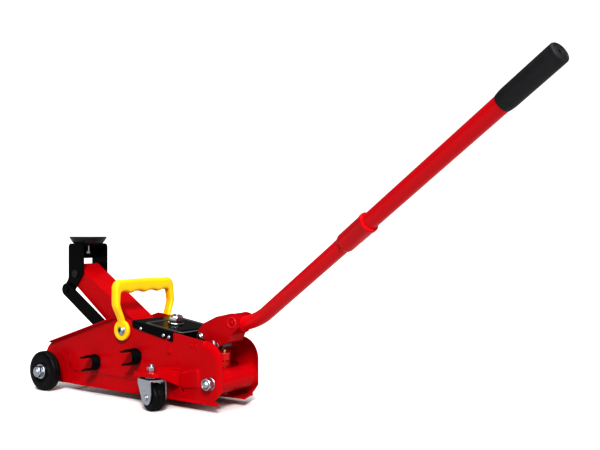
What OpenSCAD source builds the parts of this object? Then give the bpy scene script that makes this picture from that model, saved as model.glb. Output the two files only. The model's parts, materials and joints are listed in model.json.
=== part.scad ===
// Low trolley jack: wheeled frame of two side plates, hydraulic unit, lift arm with
// a self-levelling saddle, fold-over carry handle and a two-part pump handle.
// The origin is on the floor, in the mid-plane, straight below the front axle.
// +X points to the saddle end, +Y to the jack's left and +Z up.

/* [Frame] */
// Width over the outer faces of the side plates
frame_w = 104; // [100:1:112]
// Thickness of a side plate
plate_t = 3; // [2.5:0.5:3.5]
// Rear edge of the side plates, behind the front axle
plate_back = 413.5; // [413:0.5:420]
// Height of the plates' lower edge above the floor
plate_low = 13.5; // [12:0.5:15]
// Distance of the plates' hump behind the front axle
hump_back = 172; // [170:1:174]
// Height of the plates' hump
hump_z = 147; // [146:0.5:148]

/* [Front wheels] */
// Front wheel radius
wheel_r = 37; // [34:0.5:37]
// Front wheel width
wheel_w = 17.5; // [16:0.5:22]
// Outer face of a front wheel from the mid-plane
wheel_y = 88; // [86:0.5:88]

/* [Casters] */
// Kingpin distance behind the front axle
king_back = 291.5; // [284:0.5:292]
// Kingpin distance from the mid-plane
king_y = 87; // [87:0.5:90]
// Caster wheel radius
caster_r = 23; // [22:0.5:23]
// Caster wheel width
caster_w = 24; // [15:0.5:24]
// Trail of the caster wheel behind its kingpin
caster_trail = 8; // [5:0.5:8]
// Angle that both casters are swivelled at rest
caster_swivel = 15; // [0:1:40]

/* [Lift arm] */
// Arm pivot distance behind the front axle
arm_back = 224; // [222:1:226]
// Arm pivot height
arm_z = 96; // [95:0.5:97]
// Arm length from pivot to saddle bracket pin
arm_len = 230; // [228:1:232]
// Arm angle above level at rest
arm_rest = 32.6; // [0:0.1:44]
// Half width over the arm's cheeks
arm_half = 26.8; // [26:0.1:26.8]
// Radius from the arm pivot to the ram pin
crank_r = 42; // [41:0.5:43]

/* [Saddle] */
// Saddle rim radius
saddle_r = 34.8; // [30:0.2:38]
// Height of the rim above the saddle bracket pin
saddle_h = 71.4; // [70:0.2:74]

/* [Pump handle] */
// Tube outer radius
tube_r = 12; // [12]
// Tube wall
tube_wall = 1.6; // [1.2:0.1:2]
// Tilt of the handle socket above level
socket_tilt = 12.5; // [10:0.5:15]
// Bend of the lower handle
bend_angle = 24.6; // [20:0.1:30]
// Twist of the handle in its socket at rest
handle_twist = 41.6; // [0:0.1:60]
// Length from the bend's corner to the end of the upper tube
main_len = 671; // [640:1:700]

/* [Hidden] */
$fn = 48;

// Clearances: running fits, fits that are driven home, faces that pass, and loose sides
run_gap = 0.05;
press_gap = 0.02;
face_gap = 0.3;
side_gap = 0.6;

// Small screws, rivets and pins, as radii
cover_screw_r = 2;
clip_rivet_r = 2.5;
saddle_bolt_r = 3;
roller_pin_r = 3;
socket_screw_r = 2.5;
king_r = 4;
caster_axle_r = 3;
valve_r = 3.5;

// Frame
plate_out = frame_w / 2;
plate_in = plate_out - plate_t;
plate_front = 32;
front_corner_z = 82;
rear_corner_z = 112.5;
hump_x = -hump_back;
flange_w = 8;
top_slope = (hump_z - rear_corner_z) / (plate_back - hump_back);
front_slope = (hump_z - front_corner_z) / (plate_front + hump_back);
flange_front = 12;
low_flange_w = 4;
low_flange_front = -46;
low_flange_left = -409;
low_flange_right = -385;
axle_z = wheel_r;
tie_x = 22 - plate_back;
tie_z = 49;
cross_tube_r = 20;
cross_tube_wall = 3;
tie_bolt_r = 6;
tie_reach = 15;
tie_nut_r = 11;
tie_nut_h = 10;
tie_washer_t = 2;
axle_boss_r = 40;
axle_boss_t = 2;
pad_t = 2;

// Front axle
stud_r = 6;
stud_reach = 12;
axle_spacer_r = 10;
hub_washer_r = 14;
hub_washer_t = 2.2;
axle_nut_r = 11;
axle_nut_h = 8;

// Cover
cover_front = -210;
cover_back = -308;
cover_t = 1.5;
cover_lift = 0.1;
cover_drop = 16;
cover_angle = atan(top_slope);
plug_x = -264;

// Lift arm
arm_x = -arm_back;
arm_t = 3;
shaft_r = 9;
tip_pin_r = 6;
ram_pin_r = 7;
arm_top = 15;
pin_b = [arm_x + arm_len * cos(arm_rest), arm_z + arm_len * sin(arm_rest)];
ram_mid = 18.5;
crank_angle = arm_rest - ram_mid;
pin_e = [arm_x + crank_r * sin(crank_angle), arm_z - crank_r * cos(crank_angle)];
link_offset = [20, -30.6];
pin_c = [arm_x, arm_z] + link_offset;
pin_d = pin_b + link_offset;
link_pin_r = 4.5;
link_in = 32.4;
link_out = 37.4;
link_half = 12;
bracket_out = 31;
bracket_t = 3.5;
bracket_half_x = 20.5;
bracket_top = saddle_h - 13;
bracket_apron = 29;

// Hydraulic unit
ram_z = 56;
ram_r = 10;
piston_r = 14;
cylinder_r = 19;
shell_r = 26;
unit_front = -338;
shell_front = -266;
gland_from = -270;
head_gap = 1;
head_face = pin_e[0] - ram_pin_r - head_gap;
head_t = 11;
yoke_x = -344;
yoke_z = 120;
yoke_half = 20;
yoke_t = 3;
yoke_bolt_r = 5;
lug_r = 12;
socket_boss = [-411, 148];
pump_x = -377;
plunger_r = 4.5;
barrel_r = 7.5;
barrel_top = 69;
cap_r = 11;
cap_low = 80;
cap_high = 94;
roller_z = 107.5;
roller_r = 7.5;
roller_x = -378;
tip_top = roller_z - roller_r - face_gap;
valve_y = 27;
valve_foot = [-385, 66];
valve_lean = 10.5;
valve_seat_r = 6.5;

// Pump handle
bend_at = [-452, 152.8];
bend_tangent = 28;
bend_r = bend_tangent / tan(bend_angle / 2);
socket_in = 57;
socket_out = 30;
collar_from = 256;
collar_to = 320;
collar_r = 15;
lower_end = 284;
grip_from = 585;
grip_r = 13.6;
grip_end = main_len + 5;

// Carry handle
carry_x = -187;
carry_z = 124;
carry_foot_y = 56.5;
carry_foot_t = 7;
carry_foot_r = 18.5;
carry_bolt_r = 4;
carry_recess = 2.5;
carry_bar_h = 78;
carry_bar_y = 67;
carry_lean = 3;

// Storage clips
clip_r = 12;
clip_t = 2.5;
clip_w = 22;
clip_tilt = 10.5;
clip_at = [[-116, 61], [-221, 80.5]];
clip_y = plate_out + clip_r + clip_t + 0.3;
clip_mouth = 50;

corner_steps = 6;

// ---- outline helpers: an outline is a list of [x, z, corner radius]
function unit(v) = v / norm(v);
function fillet(a, b, c, r) = r <= 0 ? [b] :
    let (u = unit(a - b), v = unit(c - b), half = acos(u * v) / 2,
         mid = b + unit(u + v) * r / sin(half),
         p = b + u * r / tan(half) - mid, q = b + v * r / tan(half) - mid,
         start = atan2(p[1], p[0]), turn = atan2(p[0] * q[1] - p[1] * q[0], p * q))
    [for (i = [0:corner_steps])
        let (t = start + turn * i / corner_steps) mid + r * [cos(t), sin(t)]];
function flat(p) = [p[0], p[1]];
function rounded(pts) = let (n = len(pts)) [for (i = [0:n - 1])
    each fillet(flat(pts[(i + n - 1) % n]), flat(pts[i]), flat(pts[(i + 1) % n]), pts[i][2])];
function top_z(x) = hump_z + top_slope * (x - hump_x);
function front_z(x) = hump_z + front_slope * (hump_x - x);

// ---- solid helpers
module slab(pts, y0, y1) {
    translate([0, y1, 0]) rotate([90, 0, 0]) linear_extrude(y1 - y0) polygon(rounded(pts));
}
module rod_x(y, z, r, x0, x1) {
    translate([x0, y, z]) rotate([0, 90, 0]) cylinder(r = r, h = x1 - x0);
}
module rod_y(x, z, r, y0, y1) {
    translate([x, y0, z]) rotate([-90, 0, 0]) cylinder(r = r, h = y1 - y0);
}
module nut_y(x, z, r, y0, y1) {
    translate([x, y0, z]) rotate([-90, 0, 0]) cylinder(r = r, h = y1 - y0, $fn = 6);
}
module rod_z(x, y, r, z0, z1) {
    translate([x, y, z0]) cylinder(r = r, h = z1 - z0);
}
module nut_z(x, y, r, z0, z1) {
    translate([x, y, z0]) cylinder(r = r, h = z1 - z0, $fn = 6);
}
module both_sides() {
    children();
    mirror([0, 1, 0]) children();
}
// A ring turned about Y from a profile of [radius, y]
module turned_y(x, z, profile) {
    translate([x, 0, z]) rotate([-90, 0, 0]) rotate_extrude() polygon(profile);
}

// ---- frame: outlines of the side plates and of the raised pad on them
plate_outline = [
    [18, plate_low, 4], [plate_front, 28, 8], [plate_front, front_corner_z, 36], [hump_x, hump_z, 30],
    [-plate_back, rear_corner_z, 36], [-plate_back, 35, 4], [14.5 - plate_back, 19, 2],
    [14.5 - plate_back, plate_low, 0]
];
pad_outline = [[-325, 46, 4], [-325, 66, 4], [-366, 71, 6], [-366, 44, 6]];
// Small drain hole behind each caster
drain_at = [-330, 31];
drain_r = 2.6;
// Three screws along each side of the cover
cover_screw_at = [[-232, 129.5], [-287, 121.5], [-300, 119.5]];

// Flange along the plate's front slope, just inside its edge
flange_from = hump_x + 8;
flange_under = 0.2;
flange_t = 2.6;
top_flange = [
    [flange_front, front_z(flange_front) - flange_under, 0],
    [flange_from, front_z(flange_from) - flange_under, 0],
    [flange_from, front_z(flange_from) - flange_under - flange_t, 0],
    [flange_front, front_z(flange_front) - flange_under - flange_t, 0]
];
low_flange_t = 2.5;

module side_plate(low_flange_back) {
    color("firebrick") difference() {
        union() {
            slab(plate_outline, plate_in, plate_out);
            intersection() {
                rod_y(0, axle_z, axle_boss_r, plate_out - 1, plate_out + axle_boss_t);
                slab(plate_outline, plate_out - 1, plate_out + axle_boss_t);
            }
            slab(pad_outline, plate_out - 1, plate_out + pad_t);
            slab(top_flange, plate_out - 1, plate_out + flange_w);
            translate([low_flange_back, plate_out - 1, plate_low])
                cube([low_flange_front - low_flange_back, low_flange_w + 1, low_flange_t]);
        }
        rod_y(0, axle_z, stud_r + run_gap, plate_in - 1, plate_out + 5);
        rod_y(tie_x, tie_z, tie_bolt_r + run_gap, plate_in - 1, plate_out + 5);
        rod_y(carry_x, carry_z, carry_bolt_r + run_gap, plate_in - 1, plate_out + 5);
        for (p = cover_screw_at) rod_y(p[0], p[1], cover_screw_r + run_gap, plate_in - 1, plate_out + 1);
        for (p = clip_at) rod_y(p[0], p[1], clip_rivet_r + run_gap, plate_in - 1, plate_out + 1);
        rod_y(drain_at[0], drain_at[1], drain_r, plate_in - 1, plate_out + 1);
    }
}
module left_side_plate() {
    side_plate(low_flange_left);
}
module right_side_plate() {
    mirror([0, 1, 0]) side_plate(low_flange_right);
}
// Tube with a collar and a closed wall at each end, cut away round the pump barrel and its gusset
module rear_cross_tube() {
    collar_w = 5;
    end_wall = 6;
    gusset_half = 6.2;
    color("firebrick") difference() {
        union() {
            rod_y(tie_x, tie_z, cross_tube_r, -plate_in, plate_in);
            both_sides() rod_y(tie_x, tie_z, cross_tube_r + 2, plate_in - collar_w, plate_in);
        }
        rod_y(tie_x, tie_z, cross_tube_r - cross_tube_wall, end_wall - plate_in, plate_in - end_wall);
        rod_y(tie_x, tie_z, tie_bolt_r + run_gap, -frame_w, frame_w);
        rod_z(pump_x, 0, barrel_r + 0.2, plate_low, barrel_top + 1);
        translate([pump_x, -gusset_half, 44.8]) cube([30, 2 * gusset_half, 30]);
    }
}
module rear_tie_bolt() {
    color("silver") rod_y(tie_x, tie_z, tie_bolt_r, -plate_out - tie_reach, plate_out + tie_reach);
}
module rear_tie_nuts() {
    color("silver") both_sides() difference() {
        union() {
            rod_y(tie_x, tie_z, tie_nut_r, plate_out, plate_out + tie_washer_t);
            nut_y(tie_x, tie_z, tie_nut_r, plate_out + tie_washer_t, plate_out + tie_washer_t + tie_nut_h);
        }
        rod_y(tie_x, tie_z, tie_bolt_r + press_gap, plate_out - 1, plate_out + 20);
    }
}
module front_axle_studs() {
    color("silver") both_sides() {
        rod_y(0, axle_z, stud_r, plate_in, wheel_y + stud_reach);
        nut_y(0, axle_z, axle_nut_r, plate_in - 5, plate_in);
    }
}
module front_axle_spacers() {
    color("firebrick") both_sides() difference() {
        rod_y(0, axle_z, axle_spacer_r, plate_out + axle_boss_t, wheel_y - wheel_w - face_gap);
        rod_y(0, axle_z, stud_r + press_gap, plate_out, wheel_y);
    }
}
module front_hub_washers() {
    color("silver") both_sides() difference() {
        rod_y(0, axle_z, hub_washer_r, wheel_y + face_gap, wheel_y + face_gap + hub_washer_t);
        rod_y(0, axle_z, stud_r + press_gap, wheel_y, wheel_y + 5);
    }
}
module front_axle_nuts() {
    nut_from = wheel_y + face_gap + hub_washer_t;
    color("silver") both_sides() difference() {
        nut_y(0, axle_z, axle_nut_r, nut_from, nut_from + axle_nut_h);
        rod_y(0, axle_z, stud_r + press_gap, wheel_y, wheel_y + 20);
    }
}
// Thin bar low down behind the front axle
module front_cross_bar() {
    color("firebrick") rod_y(-35, 19, 5, -plate_in, plate_in);
}
// Floor of the frame below the hydraulic unit, as a plan outline of [x, y]
module base_plate() {
    color("firebrick") translate([0, 0, plate_low + 0.5]) linear_extrude(3) polygon([
        [-250, -plate_in], [-250, plate_in], [-350, plate_in], [-356, -13], [-411, -15], [-399, -plate_in]
    ]);
}

// ---- cover, in a frame on its sloping top above the filler plug
module cover_frame() {
    translate([plug_x, 0, top_z(plug_x) + cover_lift]) rotate([0, -cover_angle, 0]) children();
}
cover_top = [
    [cover_front, top_z(cover_front) + cover_lift, 0],
    [cover_front, top_z(cover_front) + cover_lift + cover_t, 0],
    [cover_back, top_z(cover_back) + cover_lift + cover_t, 0],
    [cover_back, top_z(cover_back) + cover_lift, 0]
];
cover_side = [
    [cover_front, top_z(cover_front) + 0.5, 3], [cover_front, top_z(cover_front) - 11, 5],
    [cover_back, top_z(cover_back) - cover_drop, 1], [cover_back, top_z(cover_back) + 0.5, 0]
];
module cover_plate() {
    side_from = plate_out + face_gap;
    side_to = side_from + cover_t;
    back_half = plate_in - side_gap;
    color("black") difference() {
        union() {
            slab(cover_top, -side_to, side_to);
            both_sides() slab(cover_side, side_from, side_to);
            translate([cover_back, -back_half, top_z(cover_back) - 18]) cube([cover_t, 2 * back_half, 19]);
        }
        cover_frame() translate([0, 0, -3]) cylinder(r = 5, h = 8);
        both_sides() for (p = cover_screw_at)
            rod_y(p[0], p[1], cover_screw_r + run_gap, plate_in, side_to + 1);
        // Slot that parts the rear tab of each side
        both_sides() translate([-295.5, plate_out, 100]) cube([5, 4, 18]);
    }
}
module cover_screws() {
    head_from = plate_out + face_gap + cover_t;
    head_r = 3.6;
    color("silver") both_sides() for (p = cover_screw_at) {
        rod_y(p[0], p[1], cover_screw_r, plate_in - 2, head_from);
        rod_y(p[0], p[1], head_r, head_from, head_from + 2.2);
    }
}
// Plug of the oil filler: washer, hexagon, chamfered top and shank
module filler_plug() {
    washer_t = 3;
    hex_h = 11.5;
    shank = 22;
    color("silver") cover_frame() {
        translate([0, 0, cover_t]) cylinder(r = 14.5, h = washer_t);
        translate([0, 0, cover_t + washer_t]) cylinder(r = 14, h = hex_h, $fn = 6);
        translate([0, 0, cover_t + washer_t + hex_h]) cylinder(r = 11, h = 1.5);
        translate([0, 0, -shank]) cylinder(r = 4.3, h = shank + cover_t);
    }
}
// Section of a clip across its tube, as [y, z]: back, ring and two lips turned outwards
module clip_section() {
    back_half = 13;
    lip = 8;
    lip_turn = 62;
    translate([plate_out, -back_half]) square([clip_t, 2 * back_half]);
    translate([clip_y, 0]) circle(r = clip_r + clip_t);
    for (s = [-1, 1]) translate([clip_y, 0]) rotate(s * clip_mouth)
        translate([clip_r - 0.5, s * (clip_t + 0.5) - clip_t]) rotate(-s * lip_turn) square([lip, clip_t]);
}
// Clips for the handle's tube, with the mouth cut out of the ring as a wedge
module storage_clips() {
    mouth = 25;
    color("black") for (p = clip_at) translate([p[0], 0, p[1]]) rotate([0, clip_tilt, 0]) difference() {
        translate([-clip_w / 2, 0, 0]) rotate([90, 0, 90]) linear_extrude(clip_w) difference() {
            clip_section();
            translate([clip_y, 0]) polygon([
                [0, 0], [mouth * cos(clip_mouth), mouth * sin(clip_mouth)],
                [mouth * cos(clip_mouth), -mouth * sin(clip_mouth)]
            ]);
        }
        rod_x(clip_y, 0, clip_r, -clip_w, clip_w);
        rod_y(0, 0, clip_rivet_r + run_gap, plate_out - 1, clip_y);
    }
}
module clip_rivets() {
    head_t = 1.5;
    color("silver") for (p = clip_at) {
        rod_y(p[0], p[1], clip_rivet_r, plate_in - head_t, plate_out + clip_t);
        rod_y(p[0], p[1], clip_rivet_r + 2, plate_in - head_t, plate_in);
    }
}

// ---- lift arm
module arm_frame() {
    translate([arm_x, 0, arm_z]) rotate([0, -arm_rest, 0]) children();
}
module arm_shaft() {
    color("silver") rod_y(arm_x, arm_z, shaft_r, -plate_in, plate_in);
}
module arm_spacers() {
    color("dimgray") both_sides() difference() {
        rod_y(arm_x, arm_z, shaft_r + 2, arm_half + side_gap, plate_in);
        rod_y(arm_x, arm_z, shaft_r + press_gap, 0, frame_w);
    }
}
// Cheek of the arm, along the arm from its pivot; the part below the pivot carries the ram pin
arm_outline = [
    [-22, arm_top, 8], [-24, -22, 14], [-28, -53, 12], [0, -53, 12], [16, -33, 12],
    [arm_len - 6, -20.5, 10], [arm_len + 20, -16, 15], [arm_len + 20, arm_top, 9]
];
crank_local = crank_r * [cos(-90 - ram_mid), sin(-90 - ram_mid)];
module lift_arm() {
    color("firebrick") arm_frame() difference() {
        union() {
            both_sides() slab(arm_outline, arm_half - arm_t, arm_half);
            translate([-16, -arm_half + 1, arm_top - arm_t]) cube([arm_len + 28, 2 * arm_half - 2, arm_t]);
        }
        rod_y(0, 0, shaft_r + run_gap, -frame_w, frame_w);
        rod_y(arm_len, 0, tip_pin_r + run_gap, -frame_w, frame_w);
        rod_y(crank_local[0], crank_local[1], ram_pin_r + press_gap, -frame_w, frame_w);
    }
}
module ram_pin() {
    pin_half = arm_half + 3.5;
    color("silver") rod_y(pin_e[0], pin_e[1], ram_pin_r, -pin_half, pin_half);
}

// ---- saddle bracket, saddle and levelling links
// Cheek of the bracket: square above the arm's pin, narrowing to the link's pin below it
bracket_outline = [
    [pin_b[0] + bracket_half_x, pin_b[1] + bracket_top, 7], [pin_b[0] + bracket_half_x, pin_b[1] - 10, 12],
    [pin_d[0] + 13, pin_d[1] + 6, 8], [pin_d[0] + 8, pin_d[1] - 12, 10], [pin_d[0] - 9, pin_d[1] - 10, 9],
    [pin_b[0] - bracket_half_x, pin_b[1] + 1, 6], [pin_b[0] - bracket_half_x, pin_b[1] + bracket_top, 7]
];
// Two cheeks joined by a web under the saddle and by an apron at the front
module saddle_bracket() {
    web_t = 4;
    web_half_x = bracket_half_x - 4;
    web_half_y = bracket_out - 1;
    web_low = pin_b[1] + bracket_top - web_t;
    color("black") difference() {
        union() {
            both_sides() slab(bracket_outline, bracket_out - bracket_t, bracket_out);
            translate([pin_b[0] - web_half_x, -web_half_y, web_low])
                cube([2 * web_half_x, 2 * web_half_y, web_t]);
            translate([pin_b[0] + bracket_half_x - 6, -web_half_y, pin_b[1] + bracket_top - bracket_apron])
                cube([3, 2 * web_half_y, bracket_apron]);
        }
        rod_y(pin_b[0], pin_b[1], tip_pin_r + press_gap, -frame_w, frame_w);
        rod_y(pin_d[0], pin_d[1], link_pin_r + press_gap, -frame_w, frame_w);
        rod_z(pin_b[0], 0, saddle_bolt_r + run_gap, web_low - 2, web_low + web_t + 2);
    }
}
module bracket_pin() {
    head_t = 3;
    color("dimgray") {
        rod_y(pin_b[0], pin_b[1], tip_pin_r, 1 - bracket_out - head_t, bracket_out + head_t - 1);
        both_sides() rod_y(pin_b[0], pin_b[1], tip_pin_r + 1.5, bracket_out, bracket_out + head_t);
    }
}
// Pins of the links, with a shoulder inside and a head outside each link
module link_bracket_pins() {
    color("dimgray") both_sides() {
        rod_y(pin_d[0], pin_d[1], link_pin_r, bracket_out - bracket_t, link_out + face_gap);
        rod_y(pin_d[0], pin_d[1], link_pin_r + 3, bracket_out, link_in - face_gap);
        rod_y(pin_d[0], pin_d[1], link_pin_r + 2.5, link_out + face_gap, link_out + 2.5);
    }
}
module link_frame_pins() {
    color("dimgray") both_sides() {
        rod_y(pin_c[0], pin_c[1], link_pin_r, link_in - 2, plate_in);
        rod_y(pin_c[0], pin_c[1], link_pin_r + 3, link_in - 2, link_in - face_gap);
        rod_y(pin_c[0], pin_c[1], link_pin_r + 3.5, link_out + face_gap, plate_in);
    }
}
module parallel_links() {
    round_end = link_half - 0.1;
    color("black") both_sides() difference() {
        translate([pin_c[0], 0, pin_c[1]]) rotate([0, -arm_rest, 0]) slab([
            [-link_half, -link_half, round_end], [arm_len + link_half, -link_half, round_end],
            [arm_len + link_half, link_half, round_end], [-link_half, link_half, round_end]
        ], link_in, link_out);
        rod_y(pin_c[0], pin_c[1], link_pin_r + run_gap, 0, frame_w);
        rod_y(pin_d[0], pin_d[1], link_pin_r + face_gap, 0, frame_w);
    }
}
saddle_low = pin_b[1] + bracket_top + 0.1;
saddle_top = pin_b[1] + saddle_h;
// Dish with a raised rim and eight low ribs across its floor
module saddle() {
    floor_t = 6;
    rib_half = saddle_r - 9;
    rib_w = 3;
    color("black") translate([pin_b[0], 0, 0]) {
        difference() {
            rotate_extrude() polygon([
                [0, saddle_low], [saddle_r - 6.5, saddle_low], [saddle_r, saddle_top - 2.5],
                [saddle_r, saddle_top], [saddle_r - 4, saddle_top], [saddle_r - 8, saddle_low + floor_t],
                [0, saddle_low + floor_t]
            ]);
            rod_z(0, 0, saddle_bolt_r + press_gap, saddle_low - 1, saddle_low + 3);
        }
        for (a = [0:45:135]) rotate([0, 0, a])
            translate([-rib_half, -rib_w / 2, saddle_low + floor_t - 1]) cube([2 * rib_half, rib_w, 2.5]);
    }
}
// Bolt that the saddle turns on, with a head well below the bracket's web
module saddle_bolt() {
    head_top = pin_b[1] + bracket_top - 18;
    color("silver") {
        rod_z(pin_b[0], 0, saddle_bolt_r, head_top, saddle_low + 3);
        rod_z(pin_b[0], 0, saddle_bolt_r + 2.5, head_top - 2, head_top);
    }
}

// ---- hydraulic unit
module valve_frame() {
    translate([valve_foot[0], valve_y, valve_foot[1]]) rotate([0, valve_lean, 0]) children();
}
// Block across the frame with a foot, the yoke's post and lug, the pump barrel on its gusset,
// and the release valve's seat on an arm
module hydraulic_base() {
    block_t = 24;
    block_half = 36;
    post_half = yoke_half - yoke_t - 1;
    color("firebrick") difference() {
        union() {
            translate([unit_front - block_t, -block_half, 24]) cube([block_t, 2 * block_half, 68]);
            translate([unit_front - block_t, -plate_in, plate_low + 3.5]) cube([block_t, 2 * plate_in, 16]);
            translate([yoke_x - lug_r, -post_half, 90]) cube([2 * lug_r, 2 * post_half, yoke_z - 90]);
            rod_y(yoke_x, yoke_z, lug_r, -post_half, post_half);
            rod_z(pump_x, 0, barrel_r, 22, barrel_top);
            translate([pump_x, -6, 45]) cube([20, 12, 21]);
            intersection() {
                valve_frame() cylinder(r = valve_seat_r, h = 24);
                translate([-420, 0, 60]) cube([100, 60, 60]);
            }
            translate([valve_foot[0] + 3, valve_y - 5, 74]) cube([-360 - valve_foot[0], 10, 12]);
        }
        rod_y(tie_x, tie_z, cross_tube_r + 0.2, 10, plate_in - 4);
        rod_z(pump_x, 0, plunger_r + run_gap, 26, barrel_top + 1);
        rod_y(yoke_x, yoke_z, yoke_bolt_r + press_gap, -frame_w, frame_w);
        valve_frame() translate([0, 0, 8]) cylinder(r = valve_r + run_gap, h = 30);
        rod_x(0, ram_z, piston_r + run_gap, unit_front - 8, unit_front + 1);
    }
}
// Oil reservoir round the cylinder, with the filler's neck up to the cover
module reservoir_shell() {
    shell_wall = 2;
    front_wall = 3;
    neck_r = 10;
    color("firebrick") difference() {
        union() {
            rod_x(0, ram_z, shell_r, unit_front, shell_front);
            cover_frame() translate([0, 0, -54]) cylinder(r = neck_r, h = 48);
        }
        rod_x(0, ram_z, shell_r - shell_wall, unit_front - 1, shell_front - front_wall);
        rod_x(0, ram_z, cylinder_r + press_gap, unit_front, shell_front + 1);
        cover_frame() translate([0, 0, -40]) cylinder(r = 4.5, h = 40);
    }
}
module ram_cylinder() {
    color("dimgray") difference() {
        rod_x(0, ram_z, cylinder_r, unit_front, gland_from);
        rod_x(0, ram_z, piston_r + run_gap, unit_front - 1, gland_from + 1);
    }
}
module cylinder_gland() {
    gland_to = gland_from + 7.5;
    color("silver") difference() {
        rod_x(0, ram_z, cylinder_r, gland_from, gland_to);
        rod_x(0, ram_z, ram_r + run_gap, gland_from - 1, gland_to + 1);
    }
}
module ram_rod() {
    piston_from = -316;
    piston_t = 12;
    color("silver") {
        rod_x(0, ram_z, ram_r, piston_from + 1, head_face - head_t);
        rod_x(0, ram_z, piston_r, piston_from, piston_from + piston_t);
    }
}
module ram_head() {
    color("dimgray") rod_x(0, ram_z, ram_r + 3, head_face - head_t, head_face);
}

// ---- pump: yoke, roller, plunger and release valve
// Cheek of the yoke: pivot end first, then the socket above, the mouth behind and the roller's lobe below
yoke_outline = [
    [-336, 131, 6], [-348, 143, 6], [-377, 156, 14], [-410, 163.5, 8], [-420, 161.5, 4],
    [-425, 155, 4], [-425, 141, 4],
    [-408, 127, 4], [-402, 114, 6], [-386, 108, 6], [-378, 101.5, 4], [-371, 103, 4], [-368, 114, 4],
    [-352, 110, 4], [-336, 112, 5]
];
// Plate across the top of both cheeks
yoke_roof = [
    [-379, 156, 1], [-408, 162.5, 1], [-412, 162.5, 1], [-412, 157, 1], [-408, 157, 1], [-379, 152, 1]
];
// Wall between the rear edges of the cheeks, from below the socket down to the roller
yoke_wall = [
    [-416, 134, 0], [-407.8, 127.2, 3], [-401.8, 114.2, 5], [-393, 110.9, 0],
    [-392.1, 113.3, 0], [-399.9, 116.2, 3], [-405.7, 128.8, 2], [-414.4, 135.9, 0]
];
module socket_frame() {
    translate([bend_at[0], 0, bend_at[1]]) rotate([0, socket_tilt, 0]) rotate([0, 0, 180]) children();
}
module socket_rod(r, x0, x1) {
    socket_frame() translate([x0, 0, 0]) rotate([0, 90, 0]) cylinder(r = r, h = x1 - x0);
}
module handle_yoke() {
    boss_r = 9.5;
    color("firebrick") difference() {
        union() {
            both_sides() slab(yoke_outline, yoke_half - yoke_t, yoke_half);
            slab(yoke_roof, 1 - yoke_half, yoke_half - 1);
            slab(yoke_wall, 1 - yoke_half, yoke_half - 1);
            socket_rod(collar_r, -socket_in, -socket_out);
            // Bridge between the cheeks that holds the socket
            translate([-420, 1 - yoke_half, 140]) cube([8, 2 * yoke_half - 2, 14]);
            rod_y(socket_boss[0], socket_boss[1], boss_r, yoke_half - 1, yoke_half + 0.8);
        }
        socket_rod(tube_r + run_gap, 4 - socket_in, 4);
        rod_y(yoke_x, yoke_z, yoke_bolt_r + run_gap, -frame_w, frame_w);
        rod_y(roller_x, roller_z, roller_pin_r + press_gap, -frame_w, frame_w);
        rod_y(socket_boss[0], socket_boss[1], boss_r - 2, yoke_half, yoke_half + 2);
        rod_y(socket_boss[0], socket_boss[1], socket_screw_r + press_gap, 0, yoke_half + 2);
    }
}
module yoke_pivot_bolt() {
    bolt_half = yoke_half + 8;
    nut_from = yoke_half + face_gap;
    color("silver") {
        rod_y(yoke_x, yoke_z, yoke_bolt_r, -bolt_half, bolt_half);
        both_sides() nut_y(yoke_x, yoke_z, 8.5, nut_from, nut_from + 5.5);
    }
}
module pump_roller() {
    color("dimgray") difference() {
        rod_y(roller_x, roller_z, roller_r, -12, 12);
        rod_y(roller_x, roller_z, roller_pin_r + run_gap, -13, 13);
    }
}
module roller_pin() {
    color("silver") {
        rod_y(roller_x, roller_z, roller_pin_r, -yoke_half - 0.5, yoke_half + 0.5);
        both_sides() rod_y(roller_x, roller_z, roller_pin_r + 1.8, yoke_half, yoke_half + 1.4);
    }
}
module socket_screw() {
    color("silver") {
        rod_y(socket_boss[0], socket_boss[1], socket_screw_r, tube_r + 0.5, yoke_half);
        rod_y(socket_boss[0], socket_boss[1], 3.6, yoke_half, yoke_half + 2);
    }
}
// Plunger from inside the barrel up to its thinner tip under the roller
module pump_plunger() {
    color("goldenrod") {
        rod_z(pump_x, 0, plunger_r, 42, cap_high);
        rod_z(pump_x, 0, plunger_r - 0.5, cap_high, tip_top);
    }
}
module plunger_cap() {
    color("firebrick") difference() {
        rod_z(pump_x, 0, cap_r, cap_low, cap_high);
        rod_z(pump_x, 0, plunger_r + press_gap, cap_low - 1, cap_high + 1);
    }
}
// Space that the spring's coils take up round the plunger
module pump_spring() {
    spring_r = 9;
    wire = 3;
    end_gap = 0.2;
    color("firebrick") difference() {
        rod_z(pump_x, 0, spring_r, barrel_top + end_gap, cap_low - end_gap);
        rod_z(pump_x, 0, spring_r - wire, barrel_top - 1, cap_low + 1);
    }
}
// Leaning stem with a hexagon and a knob for the handle to turn
module release_valve() {
    color("silver") valve_frame() {
        translate([0, 0, 10]) cylinder(r = valve_r, h = 30);
        translate([0, 0, 25]) cylinder(r = 6, h = 6, $fn = 6);
        translate([0, 0, 38]) cylinder(r = 4.5, h = 13);
    }
}

// ---- pump handle
module handle_frame() {
    socket_frame() rotate([handle_twist, 0, 0]) children();
}
module main_frame() {
    handle_frame() rotate([0, -bend_angle, 0]) children();
}
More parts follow.
